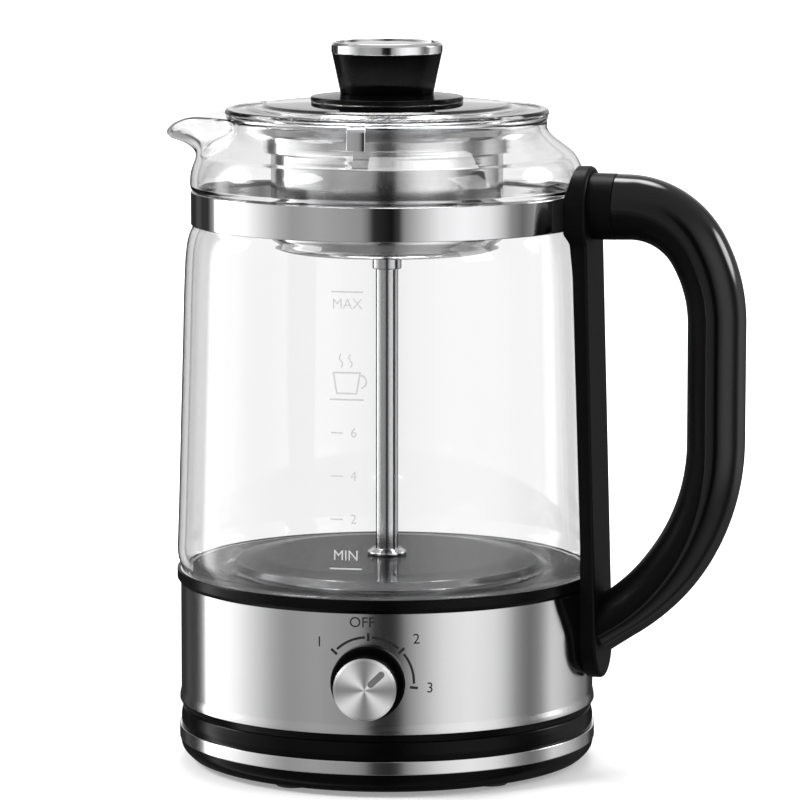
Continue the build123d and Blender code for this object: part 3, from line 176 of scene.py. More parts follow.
def at_dial(points):
    """Turns points round the up axis into points round the dial's axis. Height becomes distance outwards."""
    outwards = np.array((sin(dial_side), -cos(dial_side), 0))
    across = np.array((cos(dial_side), sin(dial_side), 0))
    up = np.array((0, 0, 1))
    middle = np.array((0, 0, dial_height))
    return middle + points[:, :1] * across + points[:, 1:2] * up + points[:, 2:] * outwards


def smooth_through(knots, values, at):
    """Smooth line through values at knots, read at other places.

    Each tangent is the slope between the knot's neighbours.
    """
    knots = np.asarray(knots, float)
    values = np.asarray(values, float)
    slope = np.gradient(values, knots, axis=0)
    i = np.clip(np.searchsorted(knots, at, side="right") - 1, 0, len(knots) - 2)
    span = (knots[i + 1] - knots[i])[:, None]
    t = (at - knots[i])[:, None] / span
    start = (1 + 2 * t) * (1 - t) ** 2 * values[i] + t * (1 - t) ** 2 * span * slope[i]
    return start + t * t * (3 - 2 * t) * values[i + 1] + t * t * (t - 1) * span * slope[i + 1]


def cross_unit(a, b):
    """Unit vectors square to a and b, row by row."""
    c = np.cross(a, b)
    return c / np.maximum(np.linalg.norm(c, axis=-1, keepdims=True), 1e-9)


def slab(name, body, nodes, material, outline, front, back, edge, across=25):
    """A plate with a rounded front edge.

    outline is (half width, height) from the middle of the top to the middle of the bottom. Each row joins
    the right outline point to the left one. Edge points move inwards along the outline's normal by
    edge * (1 - cos) and back by edge * (1 - sin) over a quarter circle. front and back give the depth at
    (across, height).
    """
    outline = np.asarray(outline, float)
    run = np.gradient(outline, axis=0)
    run = run / np.maximum(np.linalg.norm(run, axis=1, keepdims=True), 1e-9)
    inwards = np.stack((run[:, 1], -run[:, 0]), -1)
    inwards[0] = (0, -1)
    inwards[-1] = (0, 1)
    turn = np.linspace(0, pi / 2, 7)
    columns = [outline + inwards * edge * (1 - cos(angle)) for angle in turn]
    depths = [edge * (1 - sin(angle)) for angle in turn]
    inner = columns[-1] + inwards * 0.25
    side = np.linspace(1, -1, across)
    right = np.stack(columns + [inner * (s, 1) for s in side] + [c * (-1, 1) for c in columns[::-1]], 1)
    drop = np.array(depths + [0.0] * across + depths[::-1])
    rear = np.stack([outline * (s, 1) for s in np.linspace(-1, 1, across)], 1)
    front_x = front(right[..., 0], right[..., 1]) - drop
    rear_x = back(rear[..., 0], rear[..., 1])
    points = np.concatenate(
        (
            np.stack((front_x, right[..., 0], right[..., 1]), -1),
            np.stack((rear_x, rear[..., 0], rear[..., 1]), -1),
        ),
        1,
    )
    rows, count = points.shape[:2]
    faces = [f[::-1] for f in grid_faces(rows, count, False, True)]
    piece = add_piece(name, points.reshape(-1, 3), faces, body, nodes, material, 40)
    weld(piece)
    return piece


def half_outline(parts):
    """Joins parts into one outline with points about 0.8 mm apart. The last part is an arc.

    A part is ("line", corner, corner, ...) or ("arc", middle, radii, first angle, last angle) in degrees.
    """
    points = []
    for kind, *given in parts:
        if kind == "line":
            for start, end in zip(given, given[1:]):
                way = np.subtract(end, start)
                steps = max(2, int(np.linalg.norm(way) / 0.8))
                points.append(start + way * np.linspace(0, 1, steps, endpoint=False)[:, None])
        else:
            middle, radii, first, last = given
            angle = np.radians(np.append(np.linspace(first, last, 36, endpoint=False), last))
            arc = middle + np.stack((np.cos(angle), np.sin(angle)), -1) * radii
            points.append(arc[:-1])
    points.append(arc[-1:])
    return np.concatenate(points)


# ---------------------------------------------------------------- materials


def new_material(name):
    """A material with a Principled shader. Returns the material, its node tree and the shader."""
    material = bpy.data.materials.new(name)
    material.use_nodes = True
    tree = material.node_tree
    tree.nodes.clear()
    output = tree.nodes.new("ShaderNodeOutputMaterial")
    shader = tree.nodes.new("ShaderNodeBsdfPrincipled")
    tree.links.new(shader.outputs[0], output.inputs[0])
    return material, tree, shader


def shader_of(material):
    """The Principled shader of a material."""
    return next(n for n in material.node_tree.nodes if n.type == "BSDF_PRINCIPLED")


def grey(level):
    """A grey with full cover."""
    return (level, level, level, 1)


def set_values(node, values):
    """Sets inputs of a node by name or number."""
    for socket, value in values.items():
        node.inputs[socket].default_value = value


def put(tree, value, socket):
    """Links another node's output to a socket, or sets the socket where the value is plain."""
    if isinstance(value, bpy.types.NodeSocket):
        tree.links.new(value, socket)
    else:
        socket.default_value = value


def joined_by(tree, operation, *values):
    """A math node on values. Each is an output of another node or a number."""
    node = tree.nodes.new("ShaderNodeMath")
    node.operation = operation
    for socket, value in zip(node.inputs, values):
        put(tree, value, socket)
    return node.outputs[0]


def scaled(tree, colour, level):
    """A colour times a level."""
    node = tree.nodes.new("ShaderNodeVectorMath")
    node.operation = "SCALE"
    put(tree, colour, node.inputs[0])
    put(tree, level, node.inputs["Scale"])
    return node.outputs[0]


def ranged(tree, value, start, end, low=0.0, high=1.0, curve="LINEAR"):
    """Moves a value from the span start to end into the span low to high, and holds it past both ends."""
    node = tree.nodes.new("ShaderNodeMapRange")
    node.interpolation_type = curve
    put(tree, value, node.inputs["Value"])
    set_values(node, {"From Min": start, "From Max": end, "To Min": low, "To Max": high})
    return node.outputs["Result"]


def blend(tree, amount, first, second):
    """Goes from the first colour to the second as the amount goes from 0 to 1."""
    node = tree.nodes.new("ShaderNodeMix")
    node.data_type = "RGBA"
    for socket, value in ((0, amount), (6, first), (7, second)):
        put(tree, value, node.inputs[socket])
    return node.outputs[2]


def give_way(tree, amount, shader, tint):
    """Lets a surface give way to a plain see-through tint as the amount goes from 0 to 1."""
    clear = tree.nodes.new("ShaderNodeBsdfTransparent")
    clear.inputs[0].default_value = tint
    mix = tree.nodes.new("ShaderNodeMixShader")
    for socket, value in zip(mix.inputs, (amount, shader.outputs[0], clear.outputs[0])):
        tree.links.new(value, socket)
    output = next(n for n in tree.nodes if n.type == "OUTPUT_MATERIAL")
    tree.links.new(mix.outputs[0], output.inputs[0])


def new_group(name, inputs, outputs):
    """A shader group with the named number sockets. Returns the group, its given values and its results."""
    group = bpy.data.node_groups.new(name, "ShaderNodeTree")
    for in_out, names in (("INPUT", inputs), ("OUTPUT", outputs)):
        for socket in names:
            group.interface.new_socket(socket, in_out=in_out, socket_type="NodeSocketFloat")
    given = group.nodes.new("NodeGroupInput")
    result = group.nodes.new("NodeGroupOutput")
    return group, given.outputs, result.inputs


def spread_by(group, noise, given, result):
    """Roughness = given roughness + spread * (noise - 1/2), and height = noise. Returns the centred noise."""
    centred = joined_by(group, "SUBTRACT", noise.outputs[0], 0.5)
    change = joined_by(group, "MULTIPLY_ADD", centred, given["Spread"], given["Roughness"])
    group.links.new(change, result["Roughness"])
    group.links.new(noise.outputs[0], result["Height"])
    return centred


def fine_grain():
    """Shader group: fine grain of moulded plastic. Gives a bump height and a small change of roughness."""
    group, given, result = new_group("Fine grain", ("Scale", "Roughness", "Spread"), ("Roughness", "Height"))
    place = group.nodes.new("ShaderNodeTexCoord")
    noise = group.nodes.new("ShaderNodeTexNoise")
    noise.inputs["Detail"].default_value = 2.0
    group.links.new(place.outputs["Object"], noise.inputs["Vector"])
    group.links.new(given["Scale"], noise.inputs["Scale"])
    spread_by(group, noise, given, result)
    return group


def brush_lines():
    """Shader group: fine lines that run round a turned piece. Gives roughness, a height and a shade.

    The noise is read at (cos turn, sin turn, profile length * fineness), so it is long round the piece and
    short across. The shade is 1 + 0.12 * (noise - 1/2).
    """
    numbers = ("Fineness", "Roughness", "Spread")
    group, given, result = new_group("Brush lines", numbers, ("Roughness", "Height", "Shade"))
    wrap = group.nodes.new("ShaderNodeUVMap")
    parts = group.nodes.new("ShaderNodeSeparateXYZ")
    group.links.new(wrap.outputs[0], parts.inputs[0])
    turn = joined_by(group, "MULTIPLY", parts.outputs[0], TURN)
    spot = group.nodes.new("ShaderNodeCombineXYZ")
    group.links.new(joined_by(group, "COSINE", turn), spot.inputs[0])
    group.links.new(joined_by(group, "SINE", turn), spot.inputs[1])
    group.links.new(joined_by(group, "MULTIPLY", parts.outputs[1], given["Fineness"]), spot.inputs[2])
    noise = group.nodes.new("ShaderNodeTexNoise")
    set_values(noise, {"Scale": 1.6, "Detail": 4.0, "Roughness": 0.7})
    group.links.new(spot.outputs[0], noise.inputs["Vector"])
    centred = spread_by(group, noise, given, result)
    group.links.new(joined_by(group, "MULTIPLY_ADD", centred, 0.12, 1.0), result["Shade"])
    return group


grain_group = fine_grain()
lines_group = brush_lines()


def add_group(tree, group, shader, values):
    """Adds a shader group with its inputs set, lets it drive the roughness, and returns its outputs."""
    node = tree.nodes.new("ShaderNodeGroup")
    node.node_tree = group
    set_values(node, values)
    tree.links.new(node.outputs["Roughness"], shader.inputs["Roughness"])
    return node.outputs


def add_bump(tree, height, shader, strength, depth):
    """Shades a surface as if it rose and fell with the height, by a depth in mm."""
    bump = tree.nodes.new("ShaderNodeBump")
    set_values(bump, {"Strength": strength, "Distance": depth * MM})
    tree.links.new(height, bump.inputs["Height"])
    tree.links.new(bump.outputs[0], shader.inputs["Normal"])


def plastic(name, colour, roughness, grain, depth, coat=0.0, sheen=0.5):
    """Moulded plastic or rubber: one colour, fine grain of a depth in mm, and a clear coat on request."""
    material, tree, shader = new_material(name)
    set_values(shader, {"Base Color": (*colour, 1), "Metallic": 0.0, "Specular IOR Level": sheen})
    set_values(shader, {"Coat Weight": coat, "Coat Roughness": 0.04})
    values = {"Scale": grain, "Roughness": roughness, "Spread": roughness * 0.3}
    grained = add_group(tree, grain_group, shader, values)
    add_bump(tree, grained["Height"], shader, 0.35, depth)
    return material


def brushed(name, colour, roughness, fineness, spread, stretch, metal=1.0, edge=1.0):
    """Steel brushed round its axis, with reflections stretched across the fine lines.

    edge is the share of its shine that it keeps at a grazing view.
    """
    material, tree, shader = new_material(name)
    set_values(shader, {"Metallic": metal, "Specular Tint": grey(edge)})
    set_values(shader, {"Anisotropic": stretch, "Anisotropic Rotation": 0.25})
    values = {"Fineness": fineness, "Roughness": roughness, "Spread": spread}
    lined = add_group(tree, lines_group, shader, values)
    tree.links.new(scaled(tree, colour, lined["Shade"]), shader.inputs["Base Color"])
    add_bump(tree, lined["Height"], shader, 0.1, 0.004)
    tangent = tree.nodes.new("ShaderNodeTangent")
    tangent.direction_type = "UV_MAP"
    tree.links.new(tangent.outputs[0], shader.inputs["Tangent"])
    return material


def paint_reflection_wedges(material, light, dark):
    """Paints soft light and dark reflection wedges into brushed steel's colour, four of each round the face,
    standing in for the reflections seen on spun metal.

    The shade is (dark + light) / 2 + (dark - light) / 2 * cos(4 * turn).
    """
    tree = material.node_tree
    colour = shader_of(material).inputs["Base Color"]
    wrap = tree.nodes.new("ShaderNodeUVMap")
    parts = tree.nodes.new("ShaderNodeSeparateXYZ")
    tree.links.new(wrap.outputs[0], parts.inputs[0])
    wave = joined_by(tree, "COSINE", joined_by(tree, "MULTIPLY", parts.outputs[0], 4 * TURN))
    shade = joined_by(tree, "MULTIPLY_ADD", wave, (dark - light) / 2, (dark + light) / 2)
    tree.links.new(scaled(tree, colour.links[0].from_socket, shade), colour)


def turned_away(tree):
    """How far a surface is turned away from view, from 0 to 1."""
    facing = tree.nodes.new("ShaderNodeLayerWeight")
    facing.inputs["Blend"].default_value = 0.5
    return facing.outputs["Facing"]


def paint_dark_reflection_edges(material, start, full, low):
    """Paints metal's colour darker where it turns away from view, as a painted reflection of the dark part of a
    room at its edges.
    """
    tree = material.node_tree
    colour = shader_of(material).inputs["Base Color"]
    tint = colour.links[0].from_socket if colour.is_linked else tuple(colour.default_value)[:3]
    level = ranged(tree, turned_away(tree), start, full, 1.0, low)
    tree.links.new(scaled(tree, tint, level), colour)


def polished(name, colour, roughness):
    """Bright metal with a smooth surface."""
    material, tree, shader = new_material(name)
    set_values(shader, {"Base Color": (*colour, 1), "Metallic": 1.0})
    add_group(tree, grain_group, shader, {"Scale": 120.0, "Roughness": roughness, "Spread": roughness * 0.4})
    return material


def clear_glass(name, painted_edge_shades):
    """Clear glass whose colour is painted darker where the surface turns away, as painted shade for its dark
    outline. Its shadow is thin, as clear glass casts it.
    """
    material, tree, shader = new_material(name)
    set_values(shader, {"Metallic": 0.0, "Roughness": 0.0, "IOR": 1.45, "Transmission Weight": 1.0})
    ramp = tree.nodes.new("ShaderNodeValToRGB")
    elements = ramp.color_ramp.elements
    elements[0].color = grey(0.985)
    elements[1].color = grey(painted_edge_shades[-1])
    for position, shade in zip((0.8, 0.85, 0.88, 0.905), painted_edge_shades):
        elements.new(position).color = grey(shade)
    tree.links.new(turned_away(tree), ramp.inputs[0])
    tree.links.new(ramp.outputs[0], shader.inputs["Base Color"])
    path = tree.nodes.new("ShaderNodeLightPath")
    give_way(tree, path.outputs["Is Shadow Ray"], shader, grey(0.93))
    return material


jet = (0.0015, 0.0015, 0.0015)
soot = (0.002, 0.002, 0.002)
steel = (0.74, 0.74, 0.745)
gloss_black = plastic("gloss black plastic", jet, 0.16, 300.0, 0.001, sheen=0.08)
base_plastic = plastic("base plastic", jet, 0.2, 500.0, 0.001, sheen=0.1)
ring_plastic = plastic("seat ring plastic", jet, 0.25, 700.0, 0.001, sheen=0.1)
handle_gloss = plastic("handle gloss", jet, 0.12, 300.0, 0.0005, sheen=0.45)
handle_satin = plastic("handle satin", soot, 0.4, 1400.0, 0.003, sheen=0.1)
spine_satin = plastic("spine satin", soot, 0.4, 1400.0, 0.003, sheen=0.1)
grip_satin = plastic("knob satin", (0.001, 0.001, 0.001), 0.24, 900.0, 0.0005, sheen=0.04)
lid_gloss = plastic("knob cap gloss", soot, 0.06, 300.0, 0.001, coat=0.04, sheen=0.2)
soft_rubber = plastic("foot rubber", (0.05, 0.05, 0.05), 0.7, 1500.0, 0.03)
clear_silicone = plastic("silicone seal", (0.6, 0.6, 0.6), 0.35, 600.0, 0.01)
hard_plastic = plastic("socket plastic", (0.035, 0.035, 0.035), 0.4, 1200.0, 0.02)
circuit_green = plastic("circuit board lacquer", (0.03, 0.2, 0.08), 0.3, 500.0, 0.01)
dark_phenolic = plastic("component plastic", (0.07, 0.07, 0.07), 0.5, 1200.0, 0.02)
pointer_ink = plastic("pointer inlay", (0.12, 0.12, 0.12), 0.4, 1200.0, 0.01)
print_dark = plastic("dark print", (0.012, 0.012, 0.012), 0.5, 1200.0, 0.001)
print_light = plastic("grey print", (0.5, 0.5, 0.5), 0.5, 1200.0, 0.001)
sleeve_steel = brushed("sleeve steel", steel, 0.2, 420.0, 0.05, 0.6)
band_steel = brushed("base band steel", steel, 0.17, 420.0, 0.04, 0.5)
plate_steel = brushed("heating plate steel", (0.3, 0.3, 0.305), 0.17, 90.0, 0.04, 0.7, edge=0.3)
dial_steel = brushed("dial face steel", (1.0, 1.0, 1.0), 0.5, 160.0, 0.08, 0.92, metal=0.55)
# painted reflection: light and dark wedges painted into the dial face's colour
paint_reflection_wedges(dial_steel, 0.95, 0.3)
basket_steel = brushed("basket steel", (0.8, 0.8, 0.805), 0.14, 300.0, 0.04, 0.4)
cup_steel = brushed("basket cup steel", (0.78, 0.78, 0.785), 0.12, 300.0, 0.04, 0.4)
# painted reflection: the cup's colour is darkened at its edges as they turn away from view
paint_dark_reflection_edges(cup_steel, 0.68, 0.88, 0.08)
basket_inner = polished("basket inner steel", (0.82, 0.82, 0.825), 0.2)
clamp_steel = polished("clamp band steel", (0.8, 0.8, 0.81), 0.05)
tube_steel = polished("tube steel", (0.62, 0.62, 0.63), 0.12)
# painted reflection: the tube's colour is darkened at its edges as they turn away from view
paint_dark_reflection_edges(tube_steel, 0.65, 0.85, 0.1)
trim_chrome = polished("chrome trim", (0.82, 0.82, 0.83), 0.03)
screw_steel = polished("screw steel", (0.6, 0.6, 0.61), 0.25)
contact_brass = polished("contact brass", (0.8, 0.62, 0.3), 0.25)
heater_alloy = polished("cast alloy", (0.7, 0.7, 0.7), 0.4)
# painted shade: each glass's colour darkens to the last of these shades where it turns away from view
jug_glass = clear_glass("jug glass", (0.985, 0.86, 0.3, 0.03))
lid_clear = clear_glass("lid glass", (0.97, 0.93, 0.88, 0.75))

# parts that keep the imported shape: each slot gets its finish, with curved faces shaded smooth
slot_finish = {
    "base_black": base_plastic,
    "foot_rubber": soft_rubber,
    "gland_rubber": soft_rubber,
    "screw_steel": screw_steel,
    "socket_plastic": hard_plastic,
    "contact_brass": contact_brass,
    "heater_alloy": heater_alloy,
    "component_plastic": dark_phenolic,
    "board_green": circuit_green,
    "seal_silicone": clear_silicone,
    "basket_steel": basket_inner,
}
slot_of_node = {s["node"]: s["material_slot"] for s in frame["record"]["subparts"]}
for node_name, node in frame["nodes"].items():
    finish = slot_finish.get(slot_of_node[node_name])
    if finish is None:
        continue
    node.data.materials.clear()
    node.data.materials.append(finish)
    node.data.shade_smooth()
    joined = node.modifiers.new("joined faces", "WELD")
    joined.merge_threshold = 0.001 * MM
    crisp = node.modifiers.new("crisp edges", "EDGE_SPLIT")
    crisp.split_angle = radians(30)

# ---------------------------------------------------------------- power base

tray = [
    (0, 0.9),
    (61.5, 0.9, 3.0),
    (66.4, 2.1, 4.0),
    (69.2, 5.0, 4.0),
    (69.8, 8.1, 0.15),
    (66.0, 8.1),
    (66.0, 3.3),
    (0, 3.3),
]
turned("base_tray", "base", ["base_bottom_shell"], base_plastic, tray)

band = [(69.1, 8.15), (70.0, 8.15, 0.3), (70.0, 12.65, 0.3), (69.1, 12.65)]
turned("base_band", "base", ["base_steel_band"], band_steel, band, 320)

deck = [
    (67.0, 8.2),
    (68.9, 8.2),
    (68.9, 12.7),
    (69.2, 12.7, 0.1),
    (69.5, 15.6, 6.0),
    (68.7, 18.8, 0.5),
    (60.0, 18.8, 0.8),
    (57.5, 16.4, 1.2),
    (17.75, 16.4, 0.2),
    (17.75, 14.4),
    (56.5, 14.4),
    (59.0, 16.8),
    (67.0, 16.8),
]
turned("base_deck", "base", ["base_top_shell"], base_plastic, deck, 320)

socket = [
    (3.2, 14.4),
    (17.5, 14.4),
    (17.5, 27.0, 0.9),
    (11.2, 27.0, 0.3),
    (11.2, 17.5),
    (8.8, 17.5),
    (8.8, 27.0, 0.3),
    (3.2, 27.0, 0.3),
]
turned("base_socket_block", "base", ["base_socket"], hard_plastic, socket, 128)

# ---------------------------------------------------------------- kettle foot

cover = [
    (58.0, 18.95),
    (68.3, 18.95, 0.5),
    (69.0, 19.7, 0.8),
    (69.85, 21.3, 0.15),
    (68.0, 21.3),
    (68.0, 20.9),
    (58.0, 20.9),
]
turned("cover_rim", "kettle", [], gloss_black, cover, 320)
frame["nodes"]["bottom_cover"].data.materials.clear()
frame["nodes"]["bottom_cover"].data.materials.append(gloss_black)

sleeve = [
    (68.7, 21.4),
    (69.88, 21.4, 0.2),
    (69.85, 22.5, 1.2),
    (sleeve_radius, 24.4, 2.0),
    (sleeve_radius, 61.2, 0.1),
    (68.7, 61.2),
]
turned("foot_sleeve", "kettle", ["steel_sleeve"], sleeve_steel, sleeve, 360)

ring = [
    (57.0, 61.25),
    (69.7, 61.25, 0.2),
    (70.6, 62.5, 0.7),
    (70.6, 65.8, 0.5),
    (69.55, 65.8, 0.35),
    (69.5, 63.2),
    (66.1, 63.2),
    (66.1, 65.0),
    (57.0, 65.0),
]
turned("jug_seat_ring", "kettle", ["seat_ring"], ring_plastic, ring, 320)

seal = [
    (66.1, 63.2),
    (69.45, 63.2),
    (69.45, 65.5, 0.2),
    (69.1, 65.5),
    (69.1, 63.7),
    (66.6, 63.7),
    (66.6, 65.0),
    (66.1, 65.0),
]
turned("jug_foot_seal", "kettle", ["jug_seal"], clear_silicone, seal, 192)

tongue_side = ((24.6, 59.6), (23.3, 56.8), (21.5, 53.9), (18.4, 48.3), (17.1, 44.0), (16.7, 42.0))
tongue_edge = half_outline(
    [
        ("line", (0, 61.6), (25.0, 61.6), *tongue_side),
        ("arc", (0, 42.0), (16.7, 9.2), 0, -90),
    ]
)
slab(
    "seat_tongue",
    "kettle",
    ["seat_ring"],
    ring_plastic,
    tongue_edge,
    lambda y, z: np.sqrt(70.9**2 - y**2),
    lambda y, z: np.sqrt(69.2**2 - y**2),
    0.7,
    41,
)

plate = [
    (0, 68.5),
    (45.0, 68.5),
    (50.0, 63.7),
    (56.5, 63.7),
    (57.3, 65.0),
    (66.2, 65.0),
    (66.2, 66.0, 0.2),
    (57.0, 66.0, 0.6),
    (55.2, 65.7, 0.6),
    (53.0, 66.1, 0.6),
    (51.0, 68.4, 0.8),
    (42.0, 69.5, 24.0),
    (0, 69.5),
]
turned("heater_plate", "kettle", ["heating_plate"], plate_steel, plate, 256)

# ---------------------------------------------------------------- glass jug

# places in the wall's list of points: both ends of its straight part, and where the spout leaves it
straight_from = 5
straight_to = 8
spout_from = 20

# outside of the round wall from the foot to the lip, and the same points along the middle of the spout
round_wall = [
    (69.0, 63.7),
    (69.0, 65.8),
    (70.0, 68.6),
    (70.5, 71.9),
    (70.35, 75.5),
    (69.9, 88.0),
    (69.1, 115.0),
    (68.3, 141.0),
    (67.55, 165.0),
    (67.2, 170.8),
    (66.6, 175.4),
    (65.7, 178.5),
    (64.8, 180.6),
    (64.6, 182.0),
    (64.6, 187.0),
    (64.6, 192.0),
    (64.9, 192.6),
    (65.4, 193.4),
    (65.6, 195.9),
    (65.3, 198.6),
    (64.6, 200.9),
    (63.6, 203.0),
    (62.5, 204.7),
    (60.9, 206.1),
    (59.2, 207.4),
    (57.6, 208.6),
    (55.9, 209.9),
    (54.3, 211.4),
    (53.3, 213.2),
    (53.3, 215.2),
]
spout_middle = round_wall[: spout_from + 1] + [
    (64.3, 201.9),
    (64.7, 202.8),
    (65.9, 203.9),
    (67.4, 204.9),
    (69.1, 205.7),
    (71.0, 206.3),
    (73.0, 206.7),
    (75.0, 207.1),
    (76.2, 207.9),
]
wall = 2.4
lip = 1.2
spout_spread = radians(32)


def spout_drop(distance):
    """Height that the spout's rim has lost at a distance from the axis: none to 60 mm, then along an arc."""
    bend = 24.4
    past = np.clip(distance - 60.0, 0, 17.4)
    return bend - np.sqrt(bend**2 - past**2)


def jug_points():
    """The jug as rings from the foot up the outside, over the lip and down the inside.

    Within 32 degrees of the spout the round profile moves to the spout's by cos squared of 90 * angle / 32.
    The rim's height then follows spout_drop, with a correction that grows as the way up to the power 1.5.
    The inside is the outside moved in by the wall along its normals.
    """
    low = np.asarray(round_wall)
    knots = np.concatenate(([0], np.cumsum(np.linalg.norm(np.diff(low, axis=0), axis=1))))
    stretches = ((0, straight_from, 14), (straight_from, straight_to, 10), (straight_to, -1, 84))
    at = [np.linspace(knots[start], knots[end], rows) for start, end, rows in stretches]
    at = np.unique(np.concatenate(at))
    rounds = smooth_through(knots, round_wall, at)
    spout = smooth_through(knots, spout_middle, at)
    columns = 384
    angle = np.arange(columns) * TURN / columns
    off = np.abs(angle - pi)
    share = np.where(off < spout_spread, np.cos(off / spout_spread * pi / 2) ** 2, 0)
    radius = rounds[:, 0, None] + share[None, :] * (spout[:, 0] - rounds[:, 0])[:, None]
    height = rounds[:, 1, None] + share[None, :] * (spout[:, 1] - rounds[:, 1])[:, None]
    spout_foot = knots[spout_from]
    way = np.clip((at - spout_foot) / (at[-1] - spout_foot), 0, 1) ** 1.5
    wanted = rim_top - lip - spout_drop(radius[-1] * np.cos(off) * np.where(share > 0, 1, 0))
    height = height + way[:, None] * (wanted - height[-1])[None, :]
    outside = np.stack((radius * np.cos(angle), radius * np.sin(angle), height), -1)
    up = np.gradient(outside, axis=0)
    up[-1] = outside[-1] - outside[-3]
    along = (np.roll(outside, -1, 1) - np.roll(outside, 1, 1)) / 2
    normal = cross_unit(along, up)
    rise = cross_unit(normal[-1], along[-1])
    inside = outside - wall * normal
    middle = outside[-1] - lip * normal[-1]
    turn = np.linspace(0, pi, 9)[1:-1, None, None]
    bead = middle + lip * (np.cos(turn) * normal[-1] + np.sin(turn) * rise)
    return np.concatenate((outside, bead, inside[::-1]), 0)


jug = jug_points()
jug_faces = grid_faces(jug.shape[0], jug.shape[1], True, True)
add_piece("jug_wall", jug.reshape(-1, 3), jug_faces, "kettle", ["glass_jug"], jug_glass, 60)

clamp = [(64.72, waist_low), (65.4, waist_low, 0.3), (65.4, waist_high, 0.3), (64.72, waist_high)]
turned("waist_band", "kettle", ["shoulder_band"], clamp_steel, clamp, 360)

# ---------------------------------------------------------------- handle

spine_top_x = 71.1
spine_lean = 4.0 / 137.25
stub_height = 188.75


def spine_face(y, z):
    """Distance of the spine's flat outer face from the jug's axis."""
    return spine_top_x + (stub_height - z) * spine_lean


def spine_back(y, z):
    """Back of the spine: it follows the foot, the jug's wall and the waist band at a small gap."""
    heights = (30, 65.8, 66.5, 76.3, 166.7, 177.7, 180.6, 192.5, 194.5, 217)
    radii = (70.95, 70.95, 71.05, 71.0, 68.0, 66.9, 65.45, 65.45, 65.95, 65.95)
    return np.sqrt(np.interp(z, heights, radii) ** 2 - y**2)


spine_edge = half_outline(
    [
        ("arc", (0, 188.0), (14.0, 14.0), 90, 0),
        ("line", (14.0, 188.0), (14.0, 180.4), (13.6, 179.0), (12.5, 176.6), (12.5, 44.0)),
        ("arc", (0, 44.0), (12.5, 12.7), 0, -90),
    ]
)
slab(
    "handle_back_strip",
    "kettle",
    ["handle_spine"],
    spine_satin,
    spine_edge,
    spine_face,
    spine_back,
    1.3,
)

# middle line of the handle: lengths in mm, each with its bend in degrees
handle_run = ((13.1, 0), (27.86, 60), (25.66, 30), (39.0, 0), (73.3, 60), (4.5, 0))


def handle_line():
    """Distance along the handle, middle points in the (outwards, height) plane, and outward normals.

    The heading falls evenly along each bend, and the points are the running sum of the heading's direction.
    """
    lengths = np.array([part[0] for part in handle_run])
    turns = np.array([part[1] for part in handle_run])
    ends = np.concatenate(([0], np.cumsum(lengths)))
    headings = np.concatenate(([0], np.cumsum(turns)))
    distance = np.linspace(0, ends[-1], 401)
    heading = -np.radians(np.interp(distance, ends, headings))
    run = np.stack((np.cos(heading), np.sin(heading)), -1)
    step = (run[1:] + run[:-1]) / 2 * np.diff(distance)[:, None]
    points = np.array((70.0, stub_height)) + np.concatenate((np.zeros((1, 2)), np.cumsum(step, axis=0)))
    normal = np.stack((-run[:, 1], run[:, 0]), -1)
    return distance, points, normal


def handle_rings(line, half_depth, half_width, seam, outer):
    """Rings of one handle shell: an oval cut along the seam, with a small rounding where the shells meet.

    In a ring, depth is measured outwards from the middle line and width along the jug's side.
    """
    distance, points, normal = line
    cut = np.arcsin(np.clip(seam / half_depth, -1, 1))
    share = np.linspace(0, 1, 41)
    if outer:
        angle = cut[:, None] + share * (pi - 2 * cut)[:, None]
    else:
        angle = pi - cut[:, None] + share * (pi + 2 * cut)[:, None]
    depth = half_depth[:, None] * np.sin(angle)
    width = half_width[:, None] * np.cos(angle)
    soft = 0.28
    across = np.linspace(0, 1, 9)
    chord_width = width[:, -1:] + (width[:, :1] - width[:, -1:]) * across
    shrink = 1 - soft / np.abs(width[:, :1])
    chord_depth = np.repeat(seam[:, None], len(across), 1)
    ring_depth = np.concatenate((depth[:, 1:-1], chord_depth), 1)
    ring_width = np.concatenate((width[:, 1:-1], chord_width * shrink), 1)
    x = points[:, :1] + normal[:, :1] * ring_depth
    z = points[:, 1:] + normal[:, 1:] * ring_depth
    return np.stack((x, ring_width, z), -1)


def add_rings(name, rings, body, nodes, material, sharp=50):
    """Skins a row of rings and closes both ends with a fan to the ring's middle."""
    rows, count = rings.shape[:2]
    points = np.concatenate((rings.reshape(-1, 3), rings[0].mean(0)[None], rings[-1].mean(0)[None]))
    faces = grid_faces(rows, count, False, True)
    near = np.arange(count)
    next_one = (near + 1) % count
    first = np.stack((next_one, near, np.full(count, rows * count)), -1).tolist()
    base = (rows - 1) * count
    last = np.stack((base + near, base + next_one, np.full(count, rows * count + 1)), -1).tolist()
    return add_piece(name, points, faces + first + last, body, nodes, material, sharp)


def smoothed(values, reach):
    """Running mean over reach points to either side, with the ends held."""
    padded = np.pad(values, reach, mode="edge")
    return np.convolve(padded, np.ones(2 * reach + 1) / (2 * reach + 1), "valid")


